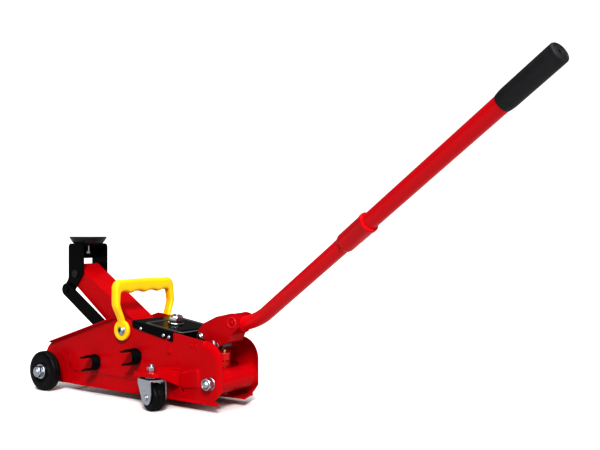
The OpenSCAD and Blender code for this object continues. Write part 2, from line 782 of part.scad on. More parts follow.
// The straight ends run a little way over the slightly thinner bend
module bent_rod(r, x0, x1) {
    lap = 0.5;
    handle_frame() {
        translate([x0, 0, 0]) rotate([0, 90, 0]) cylinder(r = r, h = lap - bend_tangent - x0);
        translate([-bend_tangent, 0, bend_r]) rotate([90, 0, 0]) rotate([0, 0, -90])
            rotate_extrude(angle = bend_angle) translate([bend_r, 0]) circle(r = r - 0.02);
    }
    main_frame() translate([bend_tangent - lap, 0, 0]) rotate([0, 90, 0])
        cylinder(r = r, h = x1 - bend_tangent + lap);
}
module handle_lower() {
    color("firebrick") difference() {
        bent_rod(tube_r, -socket_in + 5, lower_end);
        bent_rod(tube_r - tube_wall, -socket_in + 2, lower_end + 3);
    }
}
module turned_main(profile) {
    main_frame() rotate([0, 90, 0]) rotate_extrude() polygon(profile);
}
// Sleeve over the joint of the two tubes, with a tapered start and a rim at its far end
module handle_collar() {
    bore = tube_r + run_gap;
    rim_r = collar_r + 0.5;
    color("firebrick") turned_main([
        [bore, collar_from], [tube_r + 1, collar_from], [rim_r - 0.8, collar_from + 5],
        [rim_r - 0.8, collar_to - 7], [rim_r, collar_to - 6], [rim_r, collar_to - 1.5],
        [collar_r - 1, collar_to], [bore, collar_to]
    ]);
}
module handle_upper() {
    bore = tube_r - tube_wall;
    color("firebrick") turned_main([
        [bore, lower_end + 1], [tube_r, lower_end + 1], [tube_r, main_len], [bore, main_len]
    ]);
}
// Closed-end sleeve with a small vent hole
module handle_grip() {
    color("black") turned_main([
        [tube_r + press_gap, grip_from], [grip_r - 0.8, grip_from], [grip_r, grip_from + 3],
        [grip_r, grip_end - 4], [grip_r - 1.2, grip_end - 1.2], [grip_r - 4, grip_end], [2, grip_end],
        [2, main_len + 0.1],
        [tube_r + press_gap, main_len + 0.1]
    ]);
}

// ---- wheels and casters
// Solid wheel with a recess round the hub on both faces
module front_wheel() {
    y1 = wheel_y;
    y0 = wheel_y - wheel_w;
    bore = stud_r + run_gap;
    corner = 3;
    color("black") turned_y(0, axle_z, [
        [bore, y0], [12, y0], [14, y0 + 3], [26, y0 + 3], [28, y0], [wheel_r - corner, y0],
        [wheel_r, y0 + corner], [wheel_r, y1 - corner], [wheel_r - corner, y1], [29, y1], [27, y1 - 2.5],
        [16, y1 - 2.5], [14.5, y1], [bore, y1]
    ]);
}
module left_front_wheel() {
    front_wheel();
}
module right_front_wheel() {
    mirror([0, 1, 0]) front_wheel();
}
shelf_top = 64.5;
shelf_t = 3;
shelf_out = plate_out + 53;
fork_top = 53;
fork_t = 2.2;
king_head_z = fork_top - fork_t - face_gap;
// Plan outline of a caster's shelf, standing out from the side plate, as [x, y]
function shelf_edge(inset) = [
    [-252 - inset, plate_out], [-263 - inset, shelf_out - 6], [-269 - inset, shelf_out - inset],
    [-313 + inset, shelf_out - inset], [-319 + inset, shelf_out - 6], [-324 + inset, plate_out]
];
// Pressed shelf: its side walls taper from the plate to the shelf's outer edge, as [y, z]
module left_caster_bracket() {
    color("firebrick") difference() {
        intersection() {
            linear_extrude(shelf_top) polygon(shelf_edge(0));
            translate([-360, 0, 0]) rotate([90, 0, 90]) linear_extrude(120) polygon([
                [plate_out, 37], [plate_out, shelf_top], [shelf_out, shelf_top], [shelf_out, shelf_top - 7],
                [shelf_out - 10, shelf_top - 7]
            ]);
        }
        translate([0, 0, -shelf_t]) linear_extrude(shelf_top) polygon(shelf_edge(2.5));
        rod_z(-king_back, king_y, king_r + press_gap, 50, shelf_top + 1);
    }
}
module right_caster_bracket() {
    mirror([0, 1, 0]) left_caster_bracket();
}
module caster_races() {
    color("silver") both_sides() difference() {
        union() {
            rod_z(-king_back, king_y, 11, fork_top + face_gap, shelf_top - shelf_t);
            rod_z(-king_back, king_y, 14.5, fork_top + 4, shelf_top - shelf_t);
        }
        rod_z(-king_back, king_y, king_r + press_gap, 50, shelf_top);
    }
}
module caster_kingpins() {
    head_t = 2.5;
    color("silver") both_sides() {
        rod_z(-king_back, king_y, king_r, king_head_z - head_t, shelf_top + 12);
        rod_z(-king_back, king_y, king_r + 2.5, king_head_z - head_t, king_head_z);
        nut_z(-king_back, king_y, 2 * king_r, shelf_top, shelf_top + 6.5);
    }
}
module caster_frame(side) {
    translate([-king_back, side * king_y, 0]) rotate([0, 0, -caster_swivel]) children();
}
fork_half = caster_w / 2 + 1.5;
// Cheek of a fork: wide under the race, swept back to the wheel's axle
fork_outline = [
    [19, fork_top, 3], [19, fork_top - 8, 6], [3, 13, 11], [-12 - caster_trail, 9.5, 12],
    [-15 - caster_trail, 30, 8], [-21, fork_top, 3]
];
module caster_fork(side) {
    color("silver") caster_frame(side) difference() {
        union() {
            translate([-21, 0.5 - fork_half - fork_t, fork_top - fork_t])
                cube([40, 2 * (fork_half + fork_t) - 1, fork_t]);
            both_sides() slab(fork_outline, fork_half, fork_half + fork_t);
        }
        rod_z(0, 0, king_r + run_gap, 40, 60);
        rod_y(-caster_trail, caster_r, caster_axle_r + press_gap, -30, 30);
    }
}
module caster_axle(side) {
    fork_out = fork_half + fork_t;
    color("silver") caster_frame(side) {
        rod_y(-caster_trail, caster_r, caster_axle_r, -fork_out - 0.5, fork_out + 0.5);
        both_sides() rod_y(-caster_trail, caster_r, caster_axle_r + 2, fork_out, fork_out + 2);
    }
}
module caster_wheel(side) {
    y1 = caster_w / 2;
    bore = caster_axle_r + run_gap;
    corner = 5;
    color("black") caster_frame(side) turned_y(-caster_trail, caster_r, [
        [bore, -y1], [8, -y1], [9, 2 - y1], [15, 2 - y1], [17, -y1], [caster_r - corner, -y1],
        [caster_r, corner - y1], [caster_r, y1 - corner], [caster_r - corner, y1], [17, y1], [15, y1 - 2],
        [9, y1 - 2], [8, y1], [bore, y1]
    ]);
}
module left_caster_fork() {
    caster_fork(1);
}
module right_caster_fork() {
    caster_fork(-1);
}
module left_caster_axle() {
    caster_axle(1);
}
module right_caster_axle() {
    caster_axle(-1);
}
module left_caster_wheel() {
    caster_wheel(1);
}
module right_caster_wheel() {
    caster_wheel(-1);
}

// ---- carry handle: an arch in the YZ plane, as half outlines of [y, height above its bolts]
module arch(pts, x0, x1) {
    translate([x0, 0, 0]) rotate([90, 0, 90]) linear_extrude(x1 - x0) polygon(rounded(pts));
}
// Feet, legs that kink outwards and the bar across the top, leaning slightly from the upright
module carry_handle() {
    foot_in = carry_foot_y - carry_foot_t / 2;
    foot_out = carry_foot_y + carry_foot_t / 2;
    bar_low = carry_bar_h - 10;
    bar_high = carry_bar_h + 13;
    kink = carry_bar_h - 34;
    color("gold") translate([carry_x, 0, carry_z]) rotate([0, carry_lean, 0]) difference() {
        union() {
            arch([
                [foot_out, 0, 0], [foot_out, 14, 9], [carry_bar_y + 7, kink, 12],
                [carry_bar_y + 6, bar_high, 15], [-carry_bar_y - 6, bar_high, 15],
                [-carry_bar_y - 7, kink, 12], [-foot_out, 14, 9], [-foot_out, 0, 0], [-foot_in, 0, 0],
                [-foot_in, 16, 9], [3.5 - carry_bar_y, kink + 2, 10], [5.5 - carry_bar_y, bar_low, 7],
                [carry_bar_y - 5.5, bar_low, 7], [carry_bar_y - 3.5, kink + 2, 10], [foot_in, 16, 9],
                [foot_in, 0, 0]
            ], -8, 8);
            both_sides() rod_y(0, 0, carry_foot_r, foot_in, foot_out);
        }
        rod_y(0, 0, carry_bolt_r + run_gap, -frame_w, frame_w);
        both_sides() rod_y(0, 0, 10, foot_out - carry_recess, foot_out + 1);
    }
}
module carry_handle_bolts() {
    foot_out = carry_foot_y + carry_foot_t / 2;
    seat = foot_out - carry_recess + face_gap;
    nut_h = 6;
    washer_t = 1.6;
    color("silver") both_sides() {
        rod_y(carry_x, carry_z, carry_bolt_r, plate_in - nut_h, seat);
        nut_y(carry_x, carry_z, 7.5, plate_in - nut_h, plate_in);
        rod_y(carry_x, carry_z, 9, seat, seat + washer_t);
        rod_y(carry_x, carry_z, 6.5, seat + washer_t, seat + 5);
    }
}

left_side_plate();
right_side_plate();
rear_cross_tube();
rear_tie_bolt();
rear_tie_nuts();
front_axle_studs();
front_axle_spacers();
front_hub_washers();
front_axle_nuts();
front_cross_bar();
base_plate();
cover_plate();
cover_screws();
filler_plug();
storage_clips();
clip_rivets();
arm_shaft();
arm_spacers();
hydraulic_base();
reservoir_shell();
ram_cylinder();
cylinder_gland();
yoke_pivot_bolt();
carry_handle_bolts();
link_frame_pins();
left_caster_bracket();
right_caster_bracket();
caster_races();
caster_kingpins();
lift_arm();
ram_pin();
saddle_bracket();
bracket_pin();
link_bracket_pins();
saddle();
saddle_bolt();
parallel_links();
ram_rod();
ram_head();
left_front_wheel();
right_front_wheel();
left_caster_fork();
right_caster_fork();
left_caster_axle();
right_caster_axle();
left_caster_wheel();
right_caster_wheel();
carry_handle();
handle_yoke();
pump_roller();
roller_pin();
socket_screw();
pump_plunger();
plunger_cap();
pump_spring();
release_valve();
handle_lower();
handle_collar();
handle_upper();
handle_grip();
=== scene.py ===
"""Looks of a low trolley jack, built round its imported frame.

Row frame, metres; MM turns millimetres into metres.
"""
import json
from math import atan2, cos, pi, radians, sin, sqrt, tan, tau

import bmesh
import bpy
from mathutils import Matrix, Vector


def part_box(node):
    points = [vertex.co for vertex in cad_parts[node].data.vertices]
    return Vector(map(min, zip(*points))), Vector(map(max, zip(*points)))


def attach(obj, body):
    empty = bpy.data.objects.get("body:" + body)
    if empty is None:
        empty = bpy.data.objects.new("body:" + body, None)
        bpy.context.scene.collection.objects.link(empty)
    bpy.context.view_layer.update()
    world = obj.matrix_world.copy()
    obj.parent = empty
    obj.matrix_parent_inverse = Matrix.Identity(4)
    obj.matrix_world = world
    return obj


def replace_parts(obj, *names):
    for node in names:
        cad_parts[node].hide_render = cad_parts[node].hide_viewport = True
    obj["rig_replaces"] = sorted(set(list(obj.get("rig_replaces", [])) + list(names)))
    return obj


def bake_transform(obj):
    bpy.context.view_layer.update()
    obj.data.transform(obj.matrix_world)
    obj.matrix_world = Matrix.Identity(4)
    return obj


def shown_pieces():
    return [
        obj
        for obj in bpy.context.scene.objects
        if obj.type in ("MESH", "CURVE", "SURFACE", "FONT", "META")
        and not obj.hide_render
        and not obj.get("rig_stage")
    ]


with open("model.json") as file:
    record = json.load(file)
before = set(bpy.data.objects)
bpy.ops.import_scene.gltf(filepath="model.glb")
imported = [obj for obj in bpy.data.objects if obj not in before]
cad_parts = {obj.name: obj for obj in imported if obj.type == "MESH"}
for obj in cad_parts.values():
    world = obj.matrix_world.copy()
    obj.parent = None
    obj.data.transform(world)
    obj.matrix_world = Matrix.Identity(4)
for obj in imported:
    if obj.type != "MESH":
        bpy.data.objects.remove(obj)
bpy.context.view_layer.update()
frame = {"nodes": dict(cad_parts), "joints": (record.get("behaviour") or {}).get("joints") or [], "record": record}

MM = 0.001
SCENE = bpy.context.scene
RECORD = frame["record"]
NODES = frame["nodes"]
JOINTS = {j["name"]: j for j in frame["joints"]}
BODY_OF = {n: body for body, names in RECORD["behaviour"]["bodies"].items() for n in names}
SLOT_OF = {s["node"]: s["material_slot"] for s in RECORD["subparts"]}
X, Y, Z = Vector((1, 0, 0)), Vector((0, 1, 0)), Vector((0, 0, 1))


def low(node):
    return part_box(node)[0]


def high(node):
    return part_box(node)[1]


# ---- camera, floor and light ------------------------------------------------------------

# Viewpoint of the photograph, solved from its perspective: level, from the rear left, a little above the jack
CAMERA_AT = (-1.26558, 1.05122, 0.29242)
CAMERA_TURN = 214.77
CAMERA_LENS, CAMERA_SENSOR = 47.976, 36
CAMERA_SHIFT = 0.01873


def make_camera():
    data = bpy.data.cameras.new("photo_camera")
    data.lens = CAMERA_LENS
    data.sensor_width = CAMERA_SENSOR
    data.shift_y = CAMERA_SHIFT
    data.dof.use_dof = False
    cam = bpy.data.objects.new("photo_camera", data)
    cam.location = CAMERA_AT
    cam.rotation_euler = (radians(90), 0, radians(CAMERA_TURN))
    SCENE.collection.objects.link(cam)
    SCENE.camera = cam


def make_floor():
    """A pale plain floor, which looks white but throws only part of the light back onto the jack."""
    half = 30
    corners = [(-half, -half, 0), (half, -half, 0), (half, half, 0), (-half, half, 0)]
    mesh = bpy.data.meshes.new("floor")
    mesh.from_pydata(corners, [], [(0, 1, 2, 3)])
    floor = bpy.data.objects.new("floor", mesh)
    SCENE.collection.objects.link(floor)
    paint = bpy.data.materials.new("floor_paint")
    paint.use_nodes = True
    shader = paint.node_tree.nodes["Principled BSDF"]
    ray = paint.node_tree.nodes.new("ShaderNodeLightPath")
    tone = paint.node_tree.nodes.new("ShaderNodeMapRange")
    tone.inputs["To Min"].default_value = 0.55
    tone.inputs["To Max"].default_value = 0.98
    paint.node_tree.links.new(ray.outputs["Is Camera Ray"], tone.inputs["Value"])
    paint.node_tree.links.new(tone.outputs["Result"], shader.inputs["Base Color"])
    shader.inputs["Roughness"].default_value = 0.9
    shader.inputs["Specular IOR Level"].default_value = 0.1
    mesh.materials.append(paint)
    floor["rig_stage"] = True


def sun(name, coming_from, spread, strength):
    data = bpy.data.lights.new(name, "SUN")
    data.energy = strength
    data.angle = radians(spread)
    lamp = bpy.data.objects.new(name, data)
    lamp.rotation_euler = Vector(coming_from).to_track_quat("Z", "Y").to_euler()
    SCENE.collection.objects.link(lamp)


def make_light():
    """Key from the camera's left, broad top light, low light from behind the handle, and a weak fill.

    Only the backdrop is white; the room that the metal reflects is dim.
    """
    world = bpy.data.worlds.new("studio")
    world.use_nodes = True
    tree = world.node_tree
    seen = tree.nodes["Background"]
    seen.inputs["Color"].default_value = (1, 1, 1, 1)
    seen.inputs["Strength"].default_value = 1.0
    fill = tree.nodes.new("ShaderNodeBackground")
    fill.inputs["Color"].default_value = (1, 1, 1, 1)
    fill.inputs["Strength"].default_value = 0.16
    ray = tree.nodes.new("ShaderNodeLightPath")
    either = tree.nodes.new("ShaderNodeMixShader")
    tree.links.new(ray.outputs["Is Camera Ray"], either.inputs["Fac"])
    tree.links.new(fill.outputs["Background"], either.inputs[1])
    tree.links.new(seen.outputs["Background"], either.inputs[2])
    tree.links.new(either.outputs["Shader"], tree.nodes["World Output"].inputs["Surface"])
    SCENE.world = world
    sun("key", (-0.86, 1.0, 1.0), 14, 3.15)
    sun("top", (0.0, 0.1, 1.0), 50, 1.7)
    sun("back", (-1.0, 0.22, 0.4), 30, 0.95)


SCENE.view_settings.view_transform = "Standard"
SCENE.view_settings.gamma = 0.74
SCENE.view_settings.exposure = 0.12
make_camera()
make_floor()
make_light()


# ---- materials --------------------------------------------------------------------------

class Paint:
    """A Principled material with helpers that add procedural detail in the piece's own coordinates."""

    def __init__(self, name, **sockets):
        self.material = bpy.data.materials.new(name)
        self.material.use_nodes = True
        self.tree = self.material.node_tree
        self.shader = self.tree.nodes["Principled BSDF"]
        self.place = self.new("TexCoord").outputs["Object"]
        for socket, value in sockets.items():
            self.shader.inputs[socket.replace("_", " ")].default_value = value

    def new(self, kind, **values):
        node = self.tree.nodes.new("ShaderNode" + kind)
        for key, value in values.items():
            setattr(node, key, value)
        return node

    def join(self, source, target):
        self.tree.links.new(source, target)

    def stretched(self, scale):
        mapping = self.new("Mapping")
        mapping.inputs["Scale"].default_value = scale
        self.join(self.place, mapping.inputs["Vector"])
        return mapping.outputs["Vector"]

    def noise(self, scale, detail=3, roughness=0.5, place=None):
        node = self.new("TexNoise")
        node.inputs["Scale"].default_value = scale
        node.inputs["Detail"].default_value = detail
        node.inputs["Roughness"].default_value = roughness
        self.join(place or self.place, node.inputs["Vector"])
        return node.outputs["Fac"]

    def cells(self, scale):
        node = self.new("TexVoronoi")
        node.inputs["Scale"].default_value = scale
        self.join(self.place, node.inputs["Vector"])
        return node.outputs["Distance"]

    def ramp(self, factor, *stops):
        node = self.new("ValToRGB")
        ramp = node.color_ramp
        while len(ramp.elements) < len(stops):
            ramp.elements.new(0.5)
        for element, (position, value) in zip(ramp.elements, stops):
            element.position = position
            element.color = tuple(value) + (1,) if isinstance(value, tuple) else (value, value, value, 1)
        self.join(factor, node.inputs["Fac"])
        return node.outputs["Color"]

    def mix(self, factor, a, b, blend="MIX"):
        node = self.new("Mix", data_type="RGBA", blend_type=blend)
        for value, key in ((factor, "Factor"), (a, "A"), (b, "B")):
            socket = node.inputs[key]
            if isinstance(value, tuple):
                socket.default_value = value + (1,)
            elif isinstance(value, float):
                socket.default_value = value
            else:
                self.join(value, socket)
        return node.outputs["Result"]

    def edges(self, radius):
        """0 on flat ground, rising on sharp outer and inner edges."""
        round_off = self.new("Bevel", samples=4)
        round_off.inputs["Radius"].default_value = radius
        flat = self.new("NewGeometry")
        dot = self.new("VectorMath", operation="DOT_PRODUCT")
        self.join(round_off.outputs["Normal"], dot.inputs[0])
        self.join(flat.outputs["Normal"], dot.inputs[1])
        return self.ramp(dot.outputs["Value"], (0.90, 1.0), (0.995, 0.0))

    def bump(self, *layers):
        """layers are (height, strength, distance)."""
        normal = None
        for height, strength, distance in layers:
            node = self.new("Bump")
            node.inputs["Strength"].default_value = strength
            node.inputs["Distance"].default_value = distance
            self.join(height, node.inputs["Height"])
            if normal:
                self.join(normal, node.inputs["Normal"])
            normal = node.outputs["Normal"]
        self.join(normal, self.shader.inputs["Normal"])

    def colour(self, source):
        self.join(source, self.shader.inputs["Base Color"])

    def rough(self, factor, smooth, dull):
        self.join(self.ramp(factor, (0.3, smooth), (0.75, dull)), self.shader.inputs["Roughness"])


def enamel(name, deep, bright, worn_and_highlight, gloss, rub_and_highlight_amount=0.3, coat=0.03, specular=0.09, dirt=0.16):
    """Glossy paint over pressed sheet: slow colour drift, orange peel, dust and rubbed edges; with a pale edge
    colour and a high rub amount, as on the cover rim, the rubbed edges are a painted highlight.
    """
    p = Paint(name, Coat_Weight=coat, Coat_Roughness=0.06, Specular_IOR_Level=specular)
    drift = p.mix(p.noise(9, 2), deep, bright)
    dust = p.ramp(p.noise(260, 5, 0.65), (0.60, 0.0), (0.78, dirt))
    dusty = p.mix(dust, drift, worn_and_highlight)
    patches = p.ramp(p.noise(90, 4), (0.44, 0.0), (0.66, rub_and_highlight_amount))
    # edge mask: real rubbing, and on the cover rim's pale black a painted highlight
    rubbed_and_highlight_mask = p.mix(p.edges(0.0008), (0.0, 0.0, 0.0), patches)
    p.colour(p.mix(rubbed_and_highlight_mask, dusty, worn_and_highlight))
    p.rough(p.noise(36, 4), gloss, gloss + 0.10)
    p.bump((p.noise(7, 1), 0.10, 0.002), (p.noise(330, 2), 0.06, 0.0002))
    return p.material


def plated(name, cool, warm, smooth, dull, grain=(30, 30, 700)):
    """Plated or turned metal: cloudy tint, fine turning lines and scuffs."""
    p = Paint(name, Metallic=1.0)
    tint = p.mix(p.noise(120, 3), cool, warm)
    p.colour(p.mix(p.ramp(p.noise(420, 4), (0.55, 0.0), (0.8, 0.35)), tint, tuple(0.55 * c for c in cool)))
    lines = p.noise(1, 3, 0.6, p.stretched(grain))
    p.rough(lines, smooth, dull)
    p.bump((lines, 0.12, 0.0001), (p.noise(300, 3), 0.08, 0.0002))
    return p.material


def moulded(name, base, bright, smooth, dull, grain, grain_depth, marks, specular=0.4):
    """Moulded plastic or rubber: fine grain, slow colour drift and handling marks."""
    p = Paint(name, Specular_IOR_Level=specular)
    drift = p.mix(p.noise(30, 2), base, bright)
    scuffs = p.ramp(p.noise(1, 5, 0.7, p.stretched((60, 200, 90))), (0.58, 0.0), (0.72, 0.5))
    p.colour(p.mix(scuffs, drift, marks))
    p.rough(p.noise(80, 4), smooth, dull)
    p.bump((p.noise(18, 1), 0.10, 0.001), (p.cells(grain), grain_depth, 0.0002))
    return p.material


def make_materials():
    """One material per slot of the record, and four more that single pieces take."""
    red = (0.44, 0.0006, 0.005), (0.52, 0.0009, 0.007), (0.56, 0.02, 0.025)
    # lighter copy of the red enamel for the handle tubes and the boss bead: painted light, so they look more
    # brightly lit
    lit_red_tones = (0.64, 0.001, 0.009), (0.72, 0.0014, 0.012), (0.74, 0.03, 0.035)
    coil_red = (0.50, 0.010, 0.012), (0.60, 0.016, 0.02), (0.60, 0.12, 0.10)
    plastic_red = (0.50, 0.008, 0.012), (0.60, 0.012, 0.018)
    yellow = (0.93, 0.54, 0.004), (1.0, 0.64, 0.010)
    black = (0.0022, 0.0022, 0.0024), (0.0045, 0.0045, 0.005), (0.05, 0.05, 0.055)
    dull_black = (0.014, 0.014, 0.015), (0.024, 0.024, 0.026), (0.10, 0.10, 0.105)
    # pale black with light grey edges for the cover's rim bead: a painted highlight line
    rim_highlight_tones = (0.05, 0.05, 0.055), (0.10, 0.10, 0.105), (0.30, 0.30, 0.31)
    wheel = (0.003, 0.003, 0.0035), (0.007, 0.007, 0.008)
    rubber = (0.014, 0.014, 0.016), (0.023, 0.023, 0.026)
    return {
        "red_paint": enamel("red_enamel", *red, 0.22),
        "black_paint": enamel("black_enamel", *black, 0.20, coat=0.02, specular=0.07),
        # lighter red for the tubes and the boss bead: painted light
        "lit_tube_paint": enamel("lit_tube_enamel", *lit_red_tones, 0.30, coat=0.10, specular=0.22, dirt=0.06),
        "saddle_black": enamel("saddle_black", *dull_black, 0.34, 0.5, coat=0.05, specular=0.25),
        # the cover rim's paint: pale black with a painted highlight along its edges
        "rim_highlight_black": enamel("rim_highlight_black", *rim_highlight_tones, 0.18, 0.8, coat=0.3, specular=0.5),
        "zinc_plate": plated("bright_zinc", (0.47, 0.52, 0.60), (0.58, 0.60, 0.63), 0.24, 0.42),
        "dark_steel": plated("oiled_steel", (0.17, 0.17, 0.18), (0.24, 0.23, 0.22), 0.30, 0.50),
        "chrome": plated("polished_chrome", (0.83, 0.85, 0.88), (0.88, 0.88, 0.87), 0.07, 0.18),
        "wheel_black": moulded("wheel_black", *wheel, 0.30, 0.46, 900, 0.25, (0.05, 0.05, 0.052), 0.16),
        "yellow_plastic": moulded("yellow_plastic", *yellow, 0.30, 0.42, 1500, 0.12, (0.88, 0.60, 0.10)),
        "brass": plated("turned_brass", (0.72, 0.50, 0.20), (0.80, 0.62, 0.30), 0.22, 0.40),
        "red_plastic": moulded("red_plastic", *plastic_red, 0.30, 0.45, 1400, 0.1, (0.62, 0.10, 0.09)),
        "spring_red": enamel("spring_coating", *coil_red, 0.28),
        "grip_rubber": moulded("grip_rubber", *rubber, 0.46, 0.66, 900, 0.5, (0.04, 0.04, 0.045)),
    }


MATERIALS = make_materials()
for node, cad in NODES.items():
    cad.data.materials.clear()
    cad.data.materials.append(MATERIALS[SLOT_OF[node]])


# ---- mesh helpers -----------------------------------------------------------------------

def finish_piece(name, bm, like, replaces=(), slot=None, sharp=32, bevel=0, bends=None, paint=None):
    """Turns bm into a piece that rides with CAD node `like` and takes the material of its slot.

    slot and paint take the place of that slot and of its material. bends, when given, leaves the piece fixed where
    it stands, tied to no body; the two bodies and two ends that it holds are not used.
    """
    bmesh.ops.remove_doubles(bm, verts=bm.verts, dist=1e-6)
    bmesh.ops.recalc_face_normals(bm, faces=bm.faces)
    mesh = bpy.data.meshes.new(name)
    bm.to_mesh(mesh)
    bm.free()
    piece = bpy.data.objects.new(name, mesh)
    SCENE.collection.objects.link(piece)
    slot = slot or SLOT_OF[like]
    mesh.materials.append(MATERIALS[paint or slot])
    mesh.polygons.foreach_set("use_smooth", [True] * len(mesh.polygons))
    if bevel:
        rounding = piece.modifiers.new("rounding", "BEVEL")
        rounding.width = bevel
        rounding.segments = 2
        rounding.limit_method = "ANGLE"
        rounding.angle_limit = radians(sharp)
        rounding.use_clamp_overlap = True
        weights = piece.modifiers.new("weighted_normals", "WEIGHTED_NORMAL")
        weights.keep_sharp = True
    else:
        mesh.set_sharp_from_angle(angle=radians(sharp))
    if bends:
        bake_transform(piece)
    else:
        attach(piece, BODY_OF[like])
    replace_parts(piece, *replaces)


def softened(node, bevel, paint=None):
    """A copy of a CAD node with its edges rounded by bevel mm, which stands for it."""
    bm = bmesh.new()
    bm.from_mesh(NODES[node].data)
    bmesh.ops.remove_doubles(bm, verts=bm.verts, dist=2e-6)
    bmesh.ops.dissolve_limit(bm, angle_limit=radians(0.6), verts=bm.verts, edges=bm.edges)
    finish_piece(node + "_soft", bm, node, [node], bevel=bevel * MM, paint=paint)


def grid(bm, rows, closed_u=False, closed_v=False):
    """Faces over a grid of points, given as rows of equal length."""
    verts = [[bm.verts.new(p) for p in row] for row in rows]
    nv, nu = len(verts), len(verts[0])
    for i in range(nv if closed_v else nv - 1):
        for j in range(nu if closed_u else nu - 1):
            a, b = verts[i], verts[(i + 1) % nv]
            quad = [a[j], a[(j + 1) % nu], b[(j + 1) % nu], b[j]]
            bm.faces.new(quad)
    return verts


def facing(origin, axis, spin=0):
    """A matrix whose Z runs along axis from origin."""
    turn = Vector(axis).to_track_quat("Z", "Y").to_matrix().to_4x4()
    return Matrix.Translation(Vector(origin)) @ turn @ Matrix.Rotation(spin, 4, "Z")


def turned(bm, origin, axis, profile, steps=64, shape=None, spin=0):
    """Revolves profile, (radius, distance along axis) in mm, about axis; shape(angle) may cap the radius."""
    place = facing(origin, axis, spin)
    rows = []
    for radius, along in profile:
        row = []
        for k in range(steps):
            angle = tau * k / steps
            r = min(radius, shape(angle)) if shape else radius
            row.append(place @ (Vector((r * cos(angle), r * sin(angle), along)) * MM))
        rows.append(row)
    verts = grid(bm, rows, closed_u=True)
    for end in (0, -1):
        if profile[end][0] > 0 and profile[0] != profile[-1]:
            bm.faces.new(verts[end])


def hexagon(across):
    """shape for turned(): the radius of a hexagon, given its width across flats."""
    def radius(angle):
        return across / 2 / cos((angle + pi / 6) % (pi / 3) - pi / 6)
    return radius


def nut(bm, origin, axis, across, height, bore=0, spin=0, sink=0.6):
    """A chamfered hexagon nut or bolt head, standing on origin; sink is the depth of its countersink."""
    corner = across / 2 / cos(pi / 6)
    foot = 0.4
    profile = [(bore, 0), (across * 0.47, 0), (across * 0.48, foot)]
    profile += [(across / 2 * (0.99 + 0.17 * s / 3), foot + 0.05 * across * s / 3) for s in range(4)]
    for s in range(5):
        profile.append((across / 2 * (1.16 - 0.20 * s / 4), height - 0.10 * across * (1 - s / 4)))
    if bore:
        profile += [(bore + sink, height), (bore, height - sink), (bore, 0)]
    else:
        profile += [(0, height)]
    turned(bm, origin, axis, [(min(r, corner), z) for r, z in profile], 72, hexagon(across), spin)


def rod(bm, origin, axis, radius, length, steps=64):
    """A plain solid rod from origin."""
    turned(bm, origin, axis, [(0, 0), (radius, 0), (radius, length), (0, length)], steps)


def thread(bm, origin, axis, radius, length, pitch=1.5, tip=1.0):
    """The bare end of a bolt, with a running thread and a chamfered tip."""
    steps, per_turn = 36, 6
    depth = pitch * 0.35
    place = facing(origin, axis)
    count = max(2, int(length / pitch * per_turn))

    def ring(radius_at, along):
        angles = [tau * k / steps for k in range(steps)]
        spots = [(radius_at(k) * cos(a), radius_at(k) * sin(a), along) for k, a in enumerate(angles)]
        return [place @ (Vector(spot) * MM) for spot in spots]

    def threaded(along):
        def radius_at(k):
            turn = (along / pitch - k / steps) % 1
            return min(radius - depth * abs(2 * turn - 1), radius - max(0, along - (length - tip)))
        return radius_at
    lengths = [length * i / count for i in range(count + 1)]
    rows = [ring(threaded(along), along) for along in lengths]
    rows.append(ring(lambda k: 0.2 * radius, length))
    verts = grid(bm, rows, closed_u=True)
    bm.faces.new(verts[0])
    bm.faces.new(verts[-1])


def washer(bm, origin, axis, outer, inner, thick):
    edge = thick * 0.3
    turned(bm, origin, axis, [
        (inner, 0), (outer - edge, 0), (outer, edge), (outer, thick - edge), (outer - edge, thick),
        (inner + edge, thick), (inner, thick - edge), (inner, 0)], 64)


def dome(bm, origin, axis, radius, height, steps=6):
    """A domed rivet or screw head, standing on origin."""
    profile = [(0, 0)] + [(radius * cos(pi / 2 * s / steps) ** 0.7, height * sin(pi / 2 * s / steps))
                          for s in range(steps)] + [(0, height)]
    turned(bm, origin, axis, profile, 40)


# ---- pieces of the frame ----------------------------------------------------------------

def islands(node):
    """The boxes of a CAD node's separate lumps, sorted along X, then Y."""
    bm = bmesh.new()
    bm.from_mesh(NODES[node].data)
    bmesh.ops.remove_doubles(bm, verts=bm.verts, dist=2e-6)
    left, boxes = set(bm.verts), []
    while left:
        stack = [left.pop()]
        lump = []
        while stack:
            vert = stack.pop()
            lump.append(vert.co.copy())
            near = {edge.other_vert(vert) for edge in vert.link_edges} & left
            left -= near
            stack += near
        boxes.append([Vector(pick(v[i] for v in lump) for i in range(3)) for pick in (min, max)])
    bm.free()
    return sorted(boxes, key=lambda b: (round(b[0].x, 4), b[0].y))


def outward(box):
    """Start point on the mid-plane side, direction and length (mm) of a lump that lies along Y."""
    centre = (box[0] + box[1]) / 2
    side = 1 if centre.y > 0 else -1
    centre.y = box[0].y if side > 0 else box[1].y
    return centre, Vector((0, side, 0)), (box[1].y - box[0].y) / MM


def smooth(t):
    t = min(1, max(0, t))
    return t * t * (3 - 2 * t)


def to_polygon(points, x, z):
    """Signed distance from (x, z) to a closed outline, negative inside."""
    best, inside = 1e9, False
    for (x0, z0), (x1, z1) in zip(points, points[1:] + points[:1]):
        run, rise = x1 - x0, z1 - z0
        t = min(1, max(0, ((x - x0) * run + (z - z0) * rise) / (run * run + rise * rise)))
        best = min(best, (x - x0 - t * run) ** 2 + (z - z0 - t * rise) ** 2)
        if (z0 > z) != (z1 > z) and x < x0 + run * (z - z0) / rise:
            inside = not inside
    return -sqrt(best) if inside else sqrt(best)


